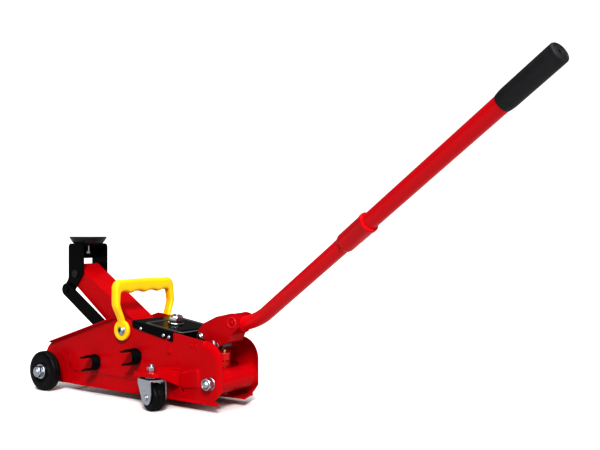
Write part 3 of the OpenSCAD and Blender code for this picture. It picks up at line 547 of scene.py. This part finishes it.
# Pressed features of a side plate: outline in mm, corner radius, height, width of the slope round it,
# and the height above the floor at which the feature has faded into the plate
ANY_HEIGHT = 200
PRESSED = [
    ([(-0.5, 36), (0, 36.5), (0.5, 36)], 38, 1.0, 9, ANY_HEIGHT),
    ([(-59, 59), (-215, 59), (-215, 120), (-110, 120)], 21, 2.0, 5, 92),
    ([(-332, 40), (-332, 57), (-362, 65), (-362, 43)], 4.5, 3.0, 3.2, ANY_HEIGHT),
    ([(-270, 62), (-322, 66.5), (-322, 66.2)], 1.2, 1.5, 3.0, ANY_HEIGHT),
    ([(-297.5, 96), (-298, 96.5), (-298.5, 96)], 5.5, 2.2, 4, ANY_HEIGHT),
    ([(-349.5, 108.5), (-350, 111), (-350.5, 108.5)], 1.8, 2.0, 2, ANY_HEIGHT),
    ([(-359.5, 107.5), (-360, 110), (-360.5, 107.5)], 1.8, 2.0, 2, ANY_HEIGHT),
]
# Rear edge of a side plate: its place, its top corner's radius, its top, and its inward roll (width, depth)
REAR, REAR_CORNER, REAR_TOP = -413.5, 36, 112.5
REAR_ROLL, REAR_IN = 11, 2.6
PLATE_THICK, PLATE_FACE = 3, 51.5


def pressed(x, z):
    """Height in mm that the plate stands out of its plane at (x, z) mm; the rear edge rolls inwards."""
    height = 0
    for outline, corner, rise, slope, fade in PRESSED:
        reach = corner + slope
        xs, zs = zip(*outline)
        if min(xs) - reach < x < max(xs) + reach and min(zs) - reach < z < max(zs) + reach:
            step = smooth((corner - to_polygon(outline, x, z)) / slope + 0.5)
            height = max(height, rise * step * smooth((fade - z) / 40))
    into = x - REAR
    centre_x, centre_z = REAR + REAR_CORNER, REAR_TOP - REAR_CORNER
    if z > centre_z and x < centre_x:
        into = REAR_CORNER - sqrt((x - centre_x) ** 2 + (z - centre_z) ** 2)
    return height - REAR_IN * max(0, 1 - into / REAR_ROLL) ** 2


def plate_sheet(bm, node, side):
    """The flat part of a side plate as pressed sheet, gridded from the CAD plate's inner face."""
    flat = bmesh.new()
    flat.from_mesh(NODES[node].data)
    bmesh.ops.remove_doubles(flat, verts=flat.verts, dist=2e-6)
    inner = min(abs(v.co.y) for v in flat.verts)
    gone = [f for f in flat.faces if max(abs(v.co.y) for v in f.verts) > inner + 1e-5]
    bmesh.ops.delete(flat, geom=gone, context="FACES")
    bmesh.ops.dissolve_limit(flat, angle_limit=radians(1), verts=flat.verts, edges=flat.edges)
    step = 2.5 * MM  # halved inside the fine stretches, round the caster's pad
    lo = Vector(map(min, zip(*(v.co for v in flat.verts))))
    hi = Vector(map(max, zip(*(v.co for v in flat.verts))))
    for axis, fine in ((X, (-0.374, -0.316)), (Z, (0.033, 0.076))):
        at = lo.dot(axis) + step
        while at < hi.dot(axis):
            everything = flat.verts[:] + flat.edges[:] + flat.faces[:]
            bmesh.ops.bisect_plane(flat, geom=everything, plane_co=axis * at, plane_no=axis, dist=1e-6)
            at += step / 2 if fine[0] < at < fine[1] else step
    rise = {v: pressed(v.co.x / MM, v.co.z / MM) * MM for v in flat.verts}
    layers = [{v: bm.verts.new((v.co.x, side * (inner + out + rise[v]), v.co.z)) for v in flat.verts}
              for out in (0, PLATE_THICK * MM)]
    for face in flat.faces:
        for layer in layers:
            bm.faces.new([layer[v] for v in face.verts])
    for edge in flat.edges:
        if len(edge.link_faces) == 1:
            a, b = edge.verts
            bm.faces.new([layers[0][a], layers[0][b], layers[1][b], layers[1][a]])
    flat.free()


def swept(bm, sections):
    """A solid through closed sections of equal length."""
    verts = grid(bm, sections, closed_u=True)
    bm.faces.new(verts[0])
    bm.faces.new(verts[-1])


def rim(bm, start, end, inward, side, width, thick, taper=0, lift=0):
    """A flange bent out along a plate's edge from start to end, (x, z) in mm.

    inward points into the plate. taper is the length over which the flange grows at its start, and lift how
    far its free edge stands off.
    """
    start, end, inward = Vector(start), Vector(end), Vector(inward).normalized()
    length = (end - start).length
    stations = [(0, 0.86), (0.6, 0.97), (1.6, 1), (0.5 * taper + 2, 1), (taper + 3, 1), (length - 2, 1),
                (length, 0.9)]
    sections = []
    for at, full in stations:
        grown = 1 - 0.65 * smooth(1 - at / taper) if taper else 1
        foot, reach = PLATE_FACE, PLATE_FACE + width * full * grown
        outline = [
            (foot, 0), (reach - 0.8, 0), (reach - 0.2, 0.3), (reach, 0.8), (reach, thick - 0.6),
            (reach - 0.3, thick - 0.2), (reach - 0.9, thick), (foot + 3.2, thick), (foot + 1.6, thick + 0.6),
            (foot + 0.8, thick + 1.6), (foot, thick + 3.4)]
        centre = start + (end - start) * at / length
        section = []
        for y, n in outline:
            n -= lift * max(0, (y - foot - 1) / width)
            section.append(Vector((centre.x + inward.x * n, side * y, centre.y + inward.y * n)) * MM)
        sections.append(section)
    swept(bm, sections)


def make_side_plates():
    """Pressed sheet with a flange along the sloping front edge and a narrower one along the foot."""
    top, front = Vector((-164, 144.3)), Vector((12, 88.2))
    slope = (front - top).normalized()
    foot_front = (-46, 13.6)
    foot_back = {1: (-409, 13.6), -1: (-385, 13.6)}
    for node, side in (("left_side_plate", 1), ("right_side_plate", -1)):
        bm = bmesh.new()
        plate_sheet(bm, node, side)
        width = max(abs(low(node).y), abs(high(node).y)) / MM - PLATE_FACE
        rim(bm, front, top, (slope.y, -slope.x), side, width, 2.2, lift=2.6)
        rim(bm, foot_front, foot_back[side], (0, 1), side, width / 2, 2.4, taper=20)
        finish_piece(node + "_sheet", bm, node, [node], sharp=40)


def make_tie_nuts():
    bm = bmesh.new()
    for box in islands("rear_tie_nuts"):
        start, axis, length = outward(box)
        washer(bm, start, axis, 11, 6, 2)
        nut(bm, start + axis * 2 * MM, axis, 19, length - 2, 5.8, spin=radians(8), sink=1.8)
    finish_piece("tie_nuts", bm, "rear_tie_nuts", ["rear_tie_nuts"])


def make_tie_bolt():
    bm = bmesh.new()
    box = islands("rear_tie_bolt")[0]
    plain = 48
    for side in (-1, 1):
        middle = Vector(((box[0].x + box[1].x) / 2, side * plain * MM, (box[0].z + box[1].z) / 2))
        thread(bm, middle, (0, side, 0), 6, box[1].y / MM - plain, tip=2.2)
    rod(bm, middle, (0, -side, 0), 6, 2 * plain)
    finish_piece("tie_bolt", bm, "rear_tie_bolt", ["rear_tie_bolt"])


def make_axle_nuts():
    bm = bmesh.new()
    for box in islands("front_axle_nuts"):
        start, axis, length = outward(box)
        nut(bm, start, axis, 19, length, 5.8, spin=radians(20))
    finish_piece("axle_nuts", bm, "front_axle_nuts", ["front_axle_nuts"])


def make_hub_washers():
    bm = bmesh.new()
    for box in islands("front_hub_washers"):
        start, axis, length = outward(box)
        washer(bm, start, axis, 14, 6, length)
    finish_piece("hub_washers", bm, "front_hub_washers", ["front_hub_washers"])


def make_axle_studs():
    """Hexagon head inside the plate, a plain shank, and thread on the last stretch."""
    bm = bmesh.new()
    head, shank = 5, 38
    for box in islands("front_axle_studs"):
        start, axis, length = outward(box)
        nut(bm, start, axis, 19, head)
        rod(bm, start + axis * head * MM, axis, 6, shank)
        thread(bm, start + axis * (head + shank) * MM, axis, 6, length - head - shank, tip=1.2)
    finish_piece("axle_studs", bm, "front_axle_studs", ["front_axle_studs"])


def make_cover_screws():
    bm = bmesh.new()
    head = 2.2
    for box in islands("cover_screws"):
        start, axis, length = outward(box)
        rod(bm, start, axis, 2, length - head, 24)
        screw_head(bm, start + axis * (length - head) * MM, axis, 3.3, head)
    finish_piece("cover_screw_set", bm, "cover_screws", ["cover_screws"])


def make_saddle_bolt():
    bm = bmesh.new()
    box = islands("saddle_bolt")[0]
    centre = (box[0] + box[1]) / 2
    foot = Vector((centre.x, centre.y, box[0].z))
    from_head = 5.9
    stem = (box[1].z - box[0].z) / MM - from_head
    nut(bm, foot, Z, 9.4, 6, spin=radians(16))
    turned(bm, foot + Z * from_head * MM, Z, [(0, 0), (3, 0), (3, stem - 0.5), (2.5, stem), (0, stem)], 40)
    finish_piece("saddle_bolt_hex", bm, "saddle_bolt", ["saddle_bolt"])


def make_socket_screw():
    """The painted screw through the yoke's socket, and the bead of the boss that it stands in."""
    bm = bmesh.new()
    head = 2
    start, axis, length = outward(islands("socket_screw")[0])
    face = start + axis * (length - head) * MM
    rod(bm, start, axis, 2.5, length - head, 24)
    screw_head(bm, face, axis, 3.6, head)
    finish_piece("socket_screw_turned", bm, "socket_screw", ["socket_screw"], slot="red_paint")

    bm = bmesh.new()
    # boss bead in the lighter tube red: a painted highlight round the screw's boss
    turned(bm, face, axis, [(7.3, 0), (7.6, 1), (8.2, 1.5), (8.9, 1.5), (9.5, 1), (9.9, 0), (7.3, 0)], 72)
    finish_piece("socket_boss_bead", bm, "handle_yoke", paint="lit_tube_paint")


def make_kingpins():
    """Domed rivet head below, shank, nut, and thread above it."""
    bm = bmesh.new()
    for box in islands("caster_kingpins"):
        centre = (box[0] + box[1]) / 2
        foot = Vector((centre.x, centre.y, box[0].z))
        height = (box[1].z - box[0].z) / MM
        dome(bm, foot + Z * 2.5 * MM, -Z, 6.5, 2.5)
        rod(bm, foot + Z * 2.4 * MM, Z, 4, 14, 32)
        nut(bm, foot + Z * (height - 12) * MM, Z, 13.8, 8.8, 3.9, spin=radians(12))
        thread(bm, foot + Z * (height - 12.5) * MM, Z, 4, 12.5, 1.25)
    finish_piece("kingpins", bm, "caster_kingpins", ["caster_kingpins"])


def make_ball_races():
    bm = bmesh.new()
    for box in islands("caster_races"):
        centre = (box[0] + box[1]) / 2
        foot = Vector((centre.x, centre.y, box[0].z))
        turned(bm, foot, Z, [
            (4, 0), (10.4, 0), (11, 0.6), (11, 2.2), (11.4, 3.2), (13.6, 3.9), (14.5, 5), (14.4, 6.3),
            (13.4, 7.4), (12.4, 8.2), (4, 8.2), (4, 0)], 72)
    finish_piece("ball_races", bm, "caster_races", ["caster_races"])


def make_yoke_bolt():
    bm = bmesh.new()
    box = islands("yoke_pivot_bolt")[0]
    centre = (box[0] + box[1]) / 2
    reach = box[1].y / MM
    plain = 18
    for side in (-1, 1):
        axis = Vector((0, side, 0))
        nut(bm, centre + axis * 20.3 * MM, axis, 14.6, 5.5, 4.8, spin=radians(10))
        thread(bm, centre + axis * plain * MM, axis, 5, reach - plain, 1.25)
    rod(bm, centre - axis * plain * MM, axis, 5, 2 * plain, 40)
    finish_piece("yoke_bolt", bm, "yoke_pivot_bolt", ["yoke_pivot_bolt"])


def make_carry_handle_bolts():
    """Nut inside the plate, shank, washer and a round head with a hexagon socket."""
    bm = bmesh.new()
    for box in islands("carry_handle_bolts"):
        start, axis, length = outward(box)
        nut(bm, start, axis, 13, 6)
        rod(bm, start + axis * 5.9 * MM, axis, 4, length - 11, 40)
        washer(bm, start + axis * (length - 5) * MM, axis, 9, 4, 1.6)
        head = start + axis * (length - 3.4) * MM
        turned(bm, head, axis, [
            (0, 0), (6.2, 0), (6.5, 0.5), (6.2, 1.7), (5.2, 2.7), (3.9, 3.3), (3.2, 3.4)], 48)
        turned(bm, head, axis, [(3.2, 3.4), (2.9, 3.1), (2.9, 1.2), (0, 0.9)], 48, hexagon(5.2))
    finish_piece("handle_bolts", bm, "carry_handle_bolts", ["carry_handle_bolts"])


def make_clip_rivets():
    bm = bmesh.new()
    for box in islands("clip_rivets"):
        start, axis, length = outward(box)
        turned(bm, start, axis, [
            (0, 0), (4, 0), (4.5, 0.5), (4.5, 1.5), (2.5, 1.5), (2.5, length - 0.4), (2.2, length),
            (0, length)], 32)
    finish_piece("rivets", bm, "clip_rivets", ["clip_rivets"])


def screw_head(bm, origin, axis, radius, height):
    """A pan head with a cross recess."""
    def cross(angle):
        return min(0.62 * radius, 0.17 * radius / max(1e-6, min(abs(sin(angle)), abs(cos(angle)))))

    def turned_share(profile, shape=None):
        turned(bm, origin, axis, [(r * radius, z * height) for r, z in profile], 48, shape)
    turned_share([(0, 0), (0.94, 0), (1, 0.25), (0.93, 0.6), (0.78, 0.86), (0.66, 1)])
    turned_share([(0.66, 1), (0.64, 0.99)])
    turned_share([(0.64, 0.99), (0.62, 0.98), (0.5, 0.45), (0, 0.3)], cross)


# Slope of the cover, over its length in mm
COVER_TILT = atan2(34.5, 241.5)
COVER_UP = Vector((-sin(COVER_TILT), 0, cos(COVER_TILT)))
COVER_ALONG = Vector((cos(COVER_TILT), 0, sin(COVER_TILT)))


def make_plug():
    """Hexagon filler plug, square to the sloping cover."""
    node = "filler_plug"
    tips = [v.co for v in NODES[node].data.vertices]
    reach = max(v.dot(COVER_UP) for v in tips)
    top = [v for v in tips if v.dot(COVER_UP) > reach - 1e-5]
    foot = sum(top, Vector()) / len(top) - COVER_UP * 16 * MM
    bm = bmesh.new()
    washer(bm, foot, COVER_UP, 14.5, 4.3, 3)
    nut(bm, foot + COVER_UP * 3 * MM, COVER_UP, 24.2, 11.5, spin=radians(14))
    turned(bm, foot + COVER_UP * 14 * MM, COVER_UP, [
        (0, 0), (11, 0), (11, 1.1), (10.2, 1.6), (8.6, 2), (3.4, 2), (2.8, 1.3), (0, 1.2)], 72)
    turned(bm, foot - COVER_UP * 23 * MM, COVER_UP, [(0, 0), (4, 0), (4.3, 0.5), (4.3, 23), (0, 23)], 40)
    finish_piece("hex_plug", bm, node, [node], sharp=25)


def make_cover_rim():
    """Raised bead round the cover's panel, whose pale paint and light grey edges are a painted highlight line."""
    node = "cover_plate"
    lo, hi = low(node), high(node)
    level = max(v.co.dot(COVER_UP) for v in NODES[node].data.vertices)
    along = (hi.x - lo.x) / MM / 2 / cos(COVER_TILT) - 7
    across = hi.y / MM - 8
    base = Vector(((lo.x + hi.x) / 2, 0, 0))
    base += COVER_UP * (level - base.dot(COVER_UP))
    corner = 5
    bead = [(-2.2, -0.3), (-1.7, 0.5), (-1, 1.15), (0, 1.4), (1, 1.15), (1.7, 0.5), (2.2, -0.3)]
    bm = bmesh.new()
    rows = []
    for sx, sy, start in ((1, 1, 0), (-1, 1, 90), (-1, -1, 180), (1, -1, 270)):
        for k in range(7):
            angle = radians(start + 90 * k / 6)
            out = Vector((cos(angle), sin(angle)))
            spot = Vector((sx * (along - corner), sy * (across - corner))) + out * corner
            row = []
            for off, rise in bead:
                x, y = spot + out * off
                row.append(base + (COVER_ALONG * x + Y * y + COVER_UP * rise) * MM)
            rows.append(row)
    grid(bm, rows, closed_u=True, closed_v=True)
    finish_piece("cover_rim", bm, node, sharp=60, paint="rim_highlight_black")


def make_clips():
    """Spring clips: a C of strip round the tube's axis, with flared lips, on a foot against the plate."""
    bm = bmesh.new()
    tilt = Matrix.Rotation(radians(10.5), 3, "Y")
    bore, mouth, width = 13.25, 50, 22
    plate, axis_out = 52, 14.8
    turns = [radians(mouth + (360 - 2 * mouth) * k / 32) for k in range(33)]
    ring = [(bore * cos(angle), bore * sin(angle)) for angle in turns]
    lip_y, lip_z = ring[0]
    lip = [(lip_y + 6.6 - 1.1 * k, lip_z + 1.6 - 0.0456 * k * k) for k in range(6)]
    path = lip + ring + [(y, -z) for y, z in reversed(lip)]
    foot = [(-13.6, -6.5 + 1.3 * k) for k in range(11)]
    for box in islands("storage_clips"):
        centre = (box[0] + box[1]) / 2
        origin = Vector((centre.x, (plate + axis_out) * MM, centre.z))
        strip(bm, path, 2.6, width, origin, tilt)
        strip(bm, foot, 2.2, width, origin, tilt)
    finish_piece("spring_clips", bm, "storage_clips", ["storage_clips"], bevel=0.5 * MM, sharp=50)


def strip(bm, path, thick, width, origin, turn):
    """A strip of sheet whose section follows path, (y, z) in mm, as wide as width along its own X."""
    half = thick / 2
    sides = ([], [])
    for i, (y, z) in enumerate(path):
        a, b = path[max(0, i - 1)], path[min(len(path) - 1, i + 1)]
        run = Vector((b[0] - a[0], b[1] - a[1])).normalized()
        sides[0].append(Vector((y - run.y * half, z + run.x * half)))
        sides[1].append(Vector((y + run.y * half, z - run.x * half)))
    outline = sides[0] + sides[1][::-1]
    middle = [(a + b) / 2 for a, b in zip(outline, outline[::-1])]
    edge = 0.7
    crown = [(-width / 2, 0.72), (edge - width / 2, 1), (width / 2 - edge, 1), (width / 2, 0.72)]
    sections = []
    for along, share in crown:
        section = [m + (point - m) * share for point, m in zip(outline, middle)]
        sections.append([origin + turn @ (Vector((along, *point)) * MM) for point in section])
    rows = grid(bm, sections, closed_u=True)
    count = len(path)
    for row in (rows[0], rows[-1]):
        for i in range(count - 1):
            bm.faces.new([row[i], row[i + 1], row[2 * count - 2 - i], row[2 * count - 1 - i]])


# ---- wheels, saddle, handles ------------------------------------------------------------

def front_wheel_profile(r, w):
    """Section of a front wheel of radius r and width w; the tread has a parting line."""
    inner = [(6.1, 0), (11.5, 0), (12.3, 0.4), (13.4, 2.6), (14.4, 3.1), (25.4, 3.1), (26.6, 2.5),
             (27.6, 0.5), (28.6, 0)]
    tread = [(r - 3.6, 0), (r - 2, 0.35), (r - 0.7, 1.5), (r, 3.2), (r, w / 2 - 0.4), (r - 0.3, w / 2),
             (r, w / 2 + 0.4), (r, w - 5), (r - 0.5, w - 3.4), (r - 1.6, w - 2), (r - 3.4, w - 0.9)]
    outer = [(r - 6.5, w - 0.3), (r - 9, w), (21, w), (19, w - 0.4), (17.6, w - 1.5), (16.6, w - 1.9)]
    hub = [(15.2, w - 1.9), (14.6, w - 1.5), (14.2, w - 0.2), (13.8, w), (6.6, w), (6.1, w - 0.5), (6.1, 0)]
    return inner + tread + outer + hub


def make_front_wheels():
    for name, side in (("left_front_wheel", 1), ("right_front_wheel", -1)):
        lo, hi = low(name), high(name)
        centre = (lo + hi) / 2
        centre.y = lo.y if side > 0 else hi.y
        r, w = (hi.z - lo.z) / 2 / MM, (hi.y - lo.y) / MM
        bm = bmesh.new()
        turned(bm, centre, (0, side, 0), front_wheel_profile(r, w), 144)
        finish_piece(name + "_turned", bm, name, [name], sharp=50)


def caster_tread(angle):
    """Outer radius of a caster wheel at angle: 32 shallow cross grooves."""
    turn = (angle / tau * 32) % 1
    return 23 - 0.7 * smooth((0.22 - abs(turn - 0.5)) / 0.08)


def make_casters():
    for name in ("left_caster_wheel", "right_caster_wheel"):
        spin = next(j for j in JOINTS.values() if j["child"] == name)
        centre, axis = Vector(spin["pos_m"]), Vector(spin["axis"]).normalized()
        along = [v.co.dot(axis) for v in NODES[name].data.vertices]
        w = (max(along) - min(along)) / MM
        start = centre - axis * w / 2 * MM
        half = [(18.2, 0), (19.6, 0.7), (21.2, 2), (22.2, 3.4), (22.8, 4.7), (23, 5.8), (23, w / 2 - 2.8),
                (22.6, w / 2 - 2.4), (22.2, w / 2 - 2), (22.2, w / 2 - 1.4), (22.6, w / 2 - 1), (22.8, w / 2)]
        wall = [(18.2, 0), (17.4, 0), (16.8, 0.3), (15.4, 1.7), (14.4, 2), (9.8, 2), (9, 1.6), (8.3, 0.2),
                (7.6, 0), (3.2, 0), (3.06, 0.2)]
        bm = bmesh.new()
        turned(bm, start, axis, half, 256, caster_tread)
        turned(bm, start, axis, [(r, w - y) for r, y in half], 256, caster_tread)
        turned(bm, start, axis, wall + [(r, w - y) for r, y in reversed(wall)], 256)
        finish_piece(name + "_treaded", bm, name, [name], sharp=40)


def make_saddle():
    """A dish with a raised rim, and eight low ribs across its floor."""
    lo, hi = low("saddle"), high("saddle")
    centre = (lo + hi) / 2
    foot = Vector((centre.x, centre.y, lo.z))
    rise = (hi.z - lo.z) / MM
    r = (hi.x - lo.x) / 2 / MM
    bm = bmesh.new()
    turned(bm, foot, Z, [
        (0, 0), (r - 8, 0), (r - 6.8, 0.4), (r - 5.6, 2), (r - 0.9, rise - 3.4), (r, rise - 2.2),
        (r, rise - 0.7), (r - 0.7, rise), (r - 3.4, rise), (r - 4.2, rise - 0.6), (r - 7.6, 6.8),
        (r - 8.6, 6.1), (0, 6)], 96)
    reach = r - 9.4
    for k in range(4):
        turn = Matrix.Rotation(pi * k / 4, 3, "Z")
        sections = []
        for x, top in ((-reach, 6.4), (1.2 - reach, 7.4), (reach - 1.2, 7.4), (reach, 6.4)):
            rib = [(-2, 5.5), (-1.6, top - 0.3), (-1.1, top), (1.1, top), (1.6, top - 0.3), (2, 5.5)]
            sections.append([foot + turn @ (Vector((x, y, z)) * MM) for y, z in rib])
        swept(bm, sections)
    finish_piece("saddle_dish", bm, "saddle", ["saddle"], sharp=35, paint="saddle_black")


def tube(bm, path, radius):
    """Sweeps a round section along path; radius is in mm. The ends stay open."""
    rows = []
    side = None
    for i, point in enumerate(path):
        run = (path[min(i + 1, len(path) - 1)] - path[max(i - 1, 0)]).normalized()
        side = (side - run * side.dot(run)).normalized() if side else run.orthogonal().normalized()
        up = run.cross(side)
        angles = [tau * k / 64 for k in range(64)]
        rows.append([point + (side * cos(angle) + up * sin(angle)) * radius * MM for angle in angles])
    return grid(bm, rows, closed_u=True)


def span(node, origin, axis):
    """First and last distance in mm of a CAD node from origin along axis."""
    along = [(v.co - origin).dot(axis) / MM for v in NODES[node].data.vertices]
    return min(along), max(along)


# Pump handle: the corner of its bend, the way from there along its straight part, and the way to the socket
BEND = Vector(JOINTS["handle_turn"]["pos_m"])
MAIN = Vector(JOINTS["handle_extend"]["axis"]).normalized()
TO_SOCKET = -Vector(JOINTS["handle_turn"]["axis"]).normalized()
if TO_SOCKET.x < 0:
    TO_SOCKET = -TO_SOCKET
TUBE_R, TUBE_WALL = 12, 1.6


def make_lower_tube():
    """The bent tube, from inside the socket to inside the upper tube."""
    tangent, in_socket, in_upper = 28 * MM, 52 * MM, 284 * MM
    bend = pi - TO_SOCKET.angle(MAIN)
    radius = tangent / tan(bend / 2)
    inward = (TO_SOCKET + MAIN).normalized()
    hub = BEND + inward * radius / cos(bend / 2)
    spokes = [BEND + way * tangent - hub for way in (TO_SOCKET, MAIN)]
    arc = [hub + spokes[0].slerp(spokes[1], k / 16).normalized() * radius for k in range(17)]
    path = [BEND + TO_SOCKET * in_socket] + arc + [BEND + MAIN * in_upper]
    bm = bmesh.new()
    outer, inner = tube(bm, path, TUBE_R), tube(bm, path, TUBE_R - TUBE_WALL)
    for end in (0, -1):
        for k in range(64):
            after = (k + 1) % 64
            bm.faces.new([outer[end][k], outer[end][after], inner[end][after], inner[end][k]])
    finish_piece("lower_tube", bm, "handle_lower", ["handle_lower"], paint="lit_tube_paint")


def make_collar():
    """Sleeve over the joint of the two tubes, with a raised band at its upper end."""
    start, end = span("handle_collar", BEND, MAIN)
    bore = TUBE_R + 0.06
    bm = bmesh.new()
    turned(bm, BEND, MAIN, [
        (bore, start), (12.8, start), (13.6, start + 0.9), (14.6, start + 4.4), (14.7, start + 5),
        (14.7, end - 7.4), (14.9, end - 6.8), (15.4, end - 6.2), (15.5, end - 5.7), (15.5, end - 2),
        (15.2, end - 1.1), (14, end), (bore, end), (bore, start)], 96)
    finish_piece("collar_sleeve", bm, "handle_collar", ["handle_collar"], paint="lit_tube_paint")


def make_upper_tube():
    start, end = span("handle_upper", BEND, MAIN)
    inner = TUBE_R - TUBE_WALL
    bm = bmesh.new()
    turned(bm, BEND, MAIN, [(inner, start), (TUBE_R, start), (TUBE_R, end), (inner, end), (inner, start)], 96)
    finish_piece("upper_tube", bm, "handle_upper", ["handle_upper"], paint="lit_tube_paint")


def make_grip():
    """Rubber sleeve with a tapered mouth, a ring groove near its end and a small hole in the end."""
    start, end = span("handle_grip", BEND, MAIN)
    bore = TUBE_R + 0.02
    mouth = [(bore, start), (12.3, start), (12.5, start + 0.6), (12.8, start + 2.4), (13.3, start + 6.5),
             (13.55, start + 10), (13.6, start + 14)]
    groove = [(13.6, end - 6), (13.4, end - 5.4), (13.4, end - 4.6), (13.6, end - 4)]
    rounded_end = [(13.4, end - 2.2), (12.6, end - 1), (11.4, end - 0.2), (10.6, end), (10, end - 0.5),
                   (9.6, end - 1.3), (8.8, end - 1.5), (8, end - 1), (7, end - 0.6), (3.8, end - 0.5)]
    hole = [(3, end - 0.9), (2.6, end - 1.6), (2.6, end - 4.9), (bore, end - 4.9), (bore, start)]
    bm = bmesh.new()
    turned(bm, BEND, MAIN, mouth + groove + rounded_end + hole, 96)
    finish_piece("grip_sleeve", bm, "handle_grip", ["handle_grip"], sharp=40)


def carry_handle_side():
    """Outer and inner points, (y, z) in mm from the pivots, from one foot up to the middle of the bar."""
    pairs = [
        ((60, 2), (53, 2)), ((60, 10), (53, 12)), ((60.2, 14), (53.3, 17)), ((61.8, 19), (55, 23)),
        ((65.6, 27.5), (58.2, 31.5)), ((69.6, 35.5), (60.9, 38.5)), ((72.4, 41), (62.6, 43.5)),
        ((73.8, 46.5), (63.3, 47.5)), ((74, 52), (63, 51.5)), ((73.6, 60), (62.3, 56)),
        ((73.2, 70), (61.7, 60))]
    for k in range(1, 8):
        turn = pi / 2 * k / 8
        c, s = cos(turn), sin(turn)
        pairs.append(((58 + 15 * c, 76 + 15 * s), (54.5 + 7 * c, 61 + 7 * s)))
    bar_half, bar_top, bar_low = 52, 91, 68.6
    wave_pitch, wave_depth = 34.5, 3
    for k in range(61):
        y = bar_half - bar_half * k / 60
        wave = (0.5 + 0.5 * cos(tau * y / wave_pitch)) ** 1.6
        dip = wave_depth * wave * smooth((bar_half - abs(y)) / 8)
        pairs.append(((y * 58 / bar_half, bar_top - 0.0004 * y * y), (y, bar_low - dip)))
    return pairs


def squared(value):
    """Bends a sine or cosine towards a rounded rectangle."""
    return abs(value) ** 0.62 * (1 if value > 0 else -1)


def make_carry_handle():
    """An arch with finger waves under its bar, between two ring feet that turn on the frame's bolts."""
    pivot = Vector(JOINTS["carry_handle_swing"]["pos_m"])
    lean = Matrix.Rotation(radians(3), 3, "Y")
    half_wide = 8
    pairs = carry_handle_side()
    whole = pairs + [((-a[0], a[1]), (-b[0], b[1])) for a, b in reversed(pairs[:-1])]
    sections = []
    for out, into in whole:
        out, into = Vector((0, *out)), Vector((0, *into))
        middle, half = (out + into) / 2, (out - into) / 2
        ring = []
        for k in range(32):
            angle = tau * k / 32
            spot = middle + half * squared(cos(angle)) + X * half_wide * squared(sin(angle))
            ring.append(pivot + lean @ (spot * MM))
        sections.append(ring)
    bm = bmesh.new()
    swept(bm, sections)
    for side in (-1, 1):
        turned(bm, pivot + Vector((0, side * 53 * MM, 0)), (0, side, 0), [
            (4.05, 0), (17, 0), (18, 0.5), (18.5, 1.6), (18.5, 5.0), (18.1, 6.1), (17.2, 6.8), (16, 7),
            (11.4, 7), (10.5, 6.7), (10, 5.9), (10, 4.9), (9.7, 4.5), (4.05, 4.5), (4.05, 0)], 72)
    finish_piece("carry_handle_arch", bm, "carry_handle", ["carry_handle"], sharp=45)


# Axis of the pump's plunger, at its foot
PLUNGER = (low("pump_plunger") + high("pump_plunger")) / 2
PLUNGER.y, PLUNGER.z = 0, low("pump_plunger").z


def make_plunger():
    top = (high("pump_plunger").z - PLUNGER.z) / MM
    bm = bmesh.new()
    turned(bm, PLUNGER, Z, [
        (0, 0), (4, 0), (4.5, 0.6), (4.5, 51.5), (4.1, 52), (4, top - 1.2), (3.4, top - 0.3), (2.4, top),
        (0, top)], 48)
    finish_piece("plunger_rod", bm, "pump_plunger", ["pump_plunger"])


def fluted(angle):
    """Outer radius of the plunger's cap at angle: 24 shallow flutes."""
    return 11 - 0.35 * (0.5 + 0.5 * cos(24 * angle))


def make_plunger_cap():
    foot = Vector((PLUNGER.x, 0, low("plunger_cap").z))
    bore = 4.52
    bm = bmesh.new()
    turned(bm, foot, Z, [
        (bore, 0), (9, 0), (9.8, 0.5), (10.2, 1.4), (10.2, 8.6), (10.8, 9.4), (11, 10.4), (11, 12.6),
        (10.5, 13.6), (9.4, 14), (6, 14), (5.2, 13.6), (bore, 13.2), (bore, 0)], 144, fluted)
    finish_piece("plunger_cap_fluted", bm, "plunger_cap", ["plunger_cap"])


def make_coil():
    """A coil from the barrel at its foot up to the plunger's cap."""
    lo, hi = low("pump_spring"), high("pump_spring")
    foot = Vector((PLUNGER.x, 0, lo.z))
    wire, coil_r, turns, steps = 0.9, 8, 4, 30
    height = (hi.z - lo.z) / MM - 2 * wire
    rows = []
    for i in range(turns * steps + 1):
        out = Vector((cos(tau * i / steps), sin(tau * i / steps), 0))
        point = foot + (out * coil_r + Z * (wire + height * i / (turns * steps))) * MM
        angles = [tau * k / 12 for k in range(12)]
        rows.append([point + (out * cos(angle) + Z * sin(angle)) * wire * MM for angle in angles])
    bm = bmesh.new()
    swept(bm, rows)
    ends = foot + Z * MM, foot + Z * (height + wire) * MM
    finish_piece("pump_coil", bm, "pump_spring", ["pump_spring"], bends=("frame", "plunger", *ends))


make_side_plates()
make_tie_nuts()
make_tie_bolt()
make_axle_nuts()
make_hub_washers()
make_axle_studs()
make_cover_screws()
make_saddle_bolt()
make_socket_screw()
make_kingpins()
make_ball_races()
make_yoke_bolt()
make_carry_handle_bolts()
make_clip_rivets()
make_plug()
make_cover_rim()
make_clips()
make_front_wheels()
make_casters()
make_saddle()
make_lower_tube()
make_collar()
make_upper_tube()
make_grip()
make_carry_handle()
make_plunger()
make_plunger_cap()
make_coil()

# Everything else keeps its CAD shape with rounded edges, in mm
BEVELS = {
    "hydraulic_base": 1.0, "lift_arm": 0.9, "saddle_bracket": 0.9, "handle_yoke": 0.8,
    "left_caster_fork": 0.8, "right_caster_fork": 0.8, "left_caster_bracket": 0.8,
    "right_caster_bracket": 0.8, "cover_plate": 0.5}
PAINTS = {"link_bracket_pins": "black_paint", "bracket_pin": "saddle_black"}
replaced = {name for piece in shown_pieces() for name in piece.get("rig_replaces", [])}
for node in sorted(set(NODES) - replaced):
    softened(node, BEVELS.get(node, 0.4), PAINTS.get(node))
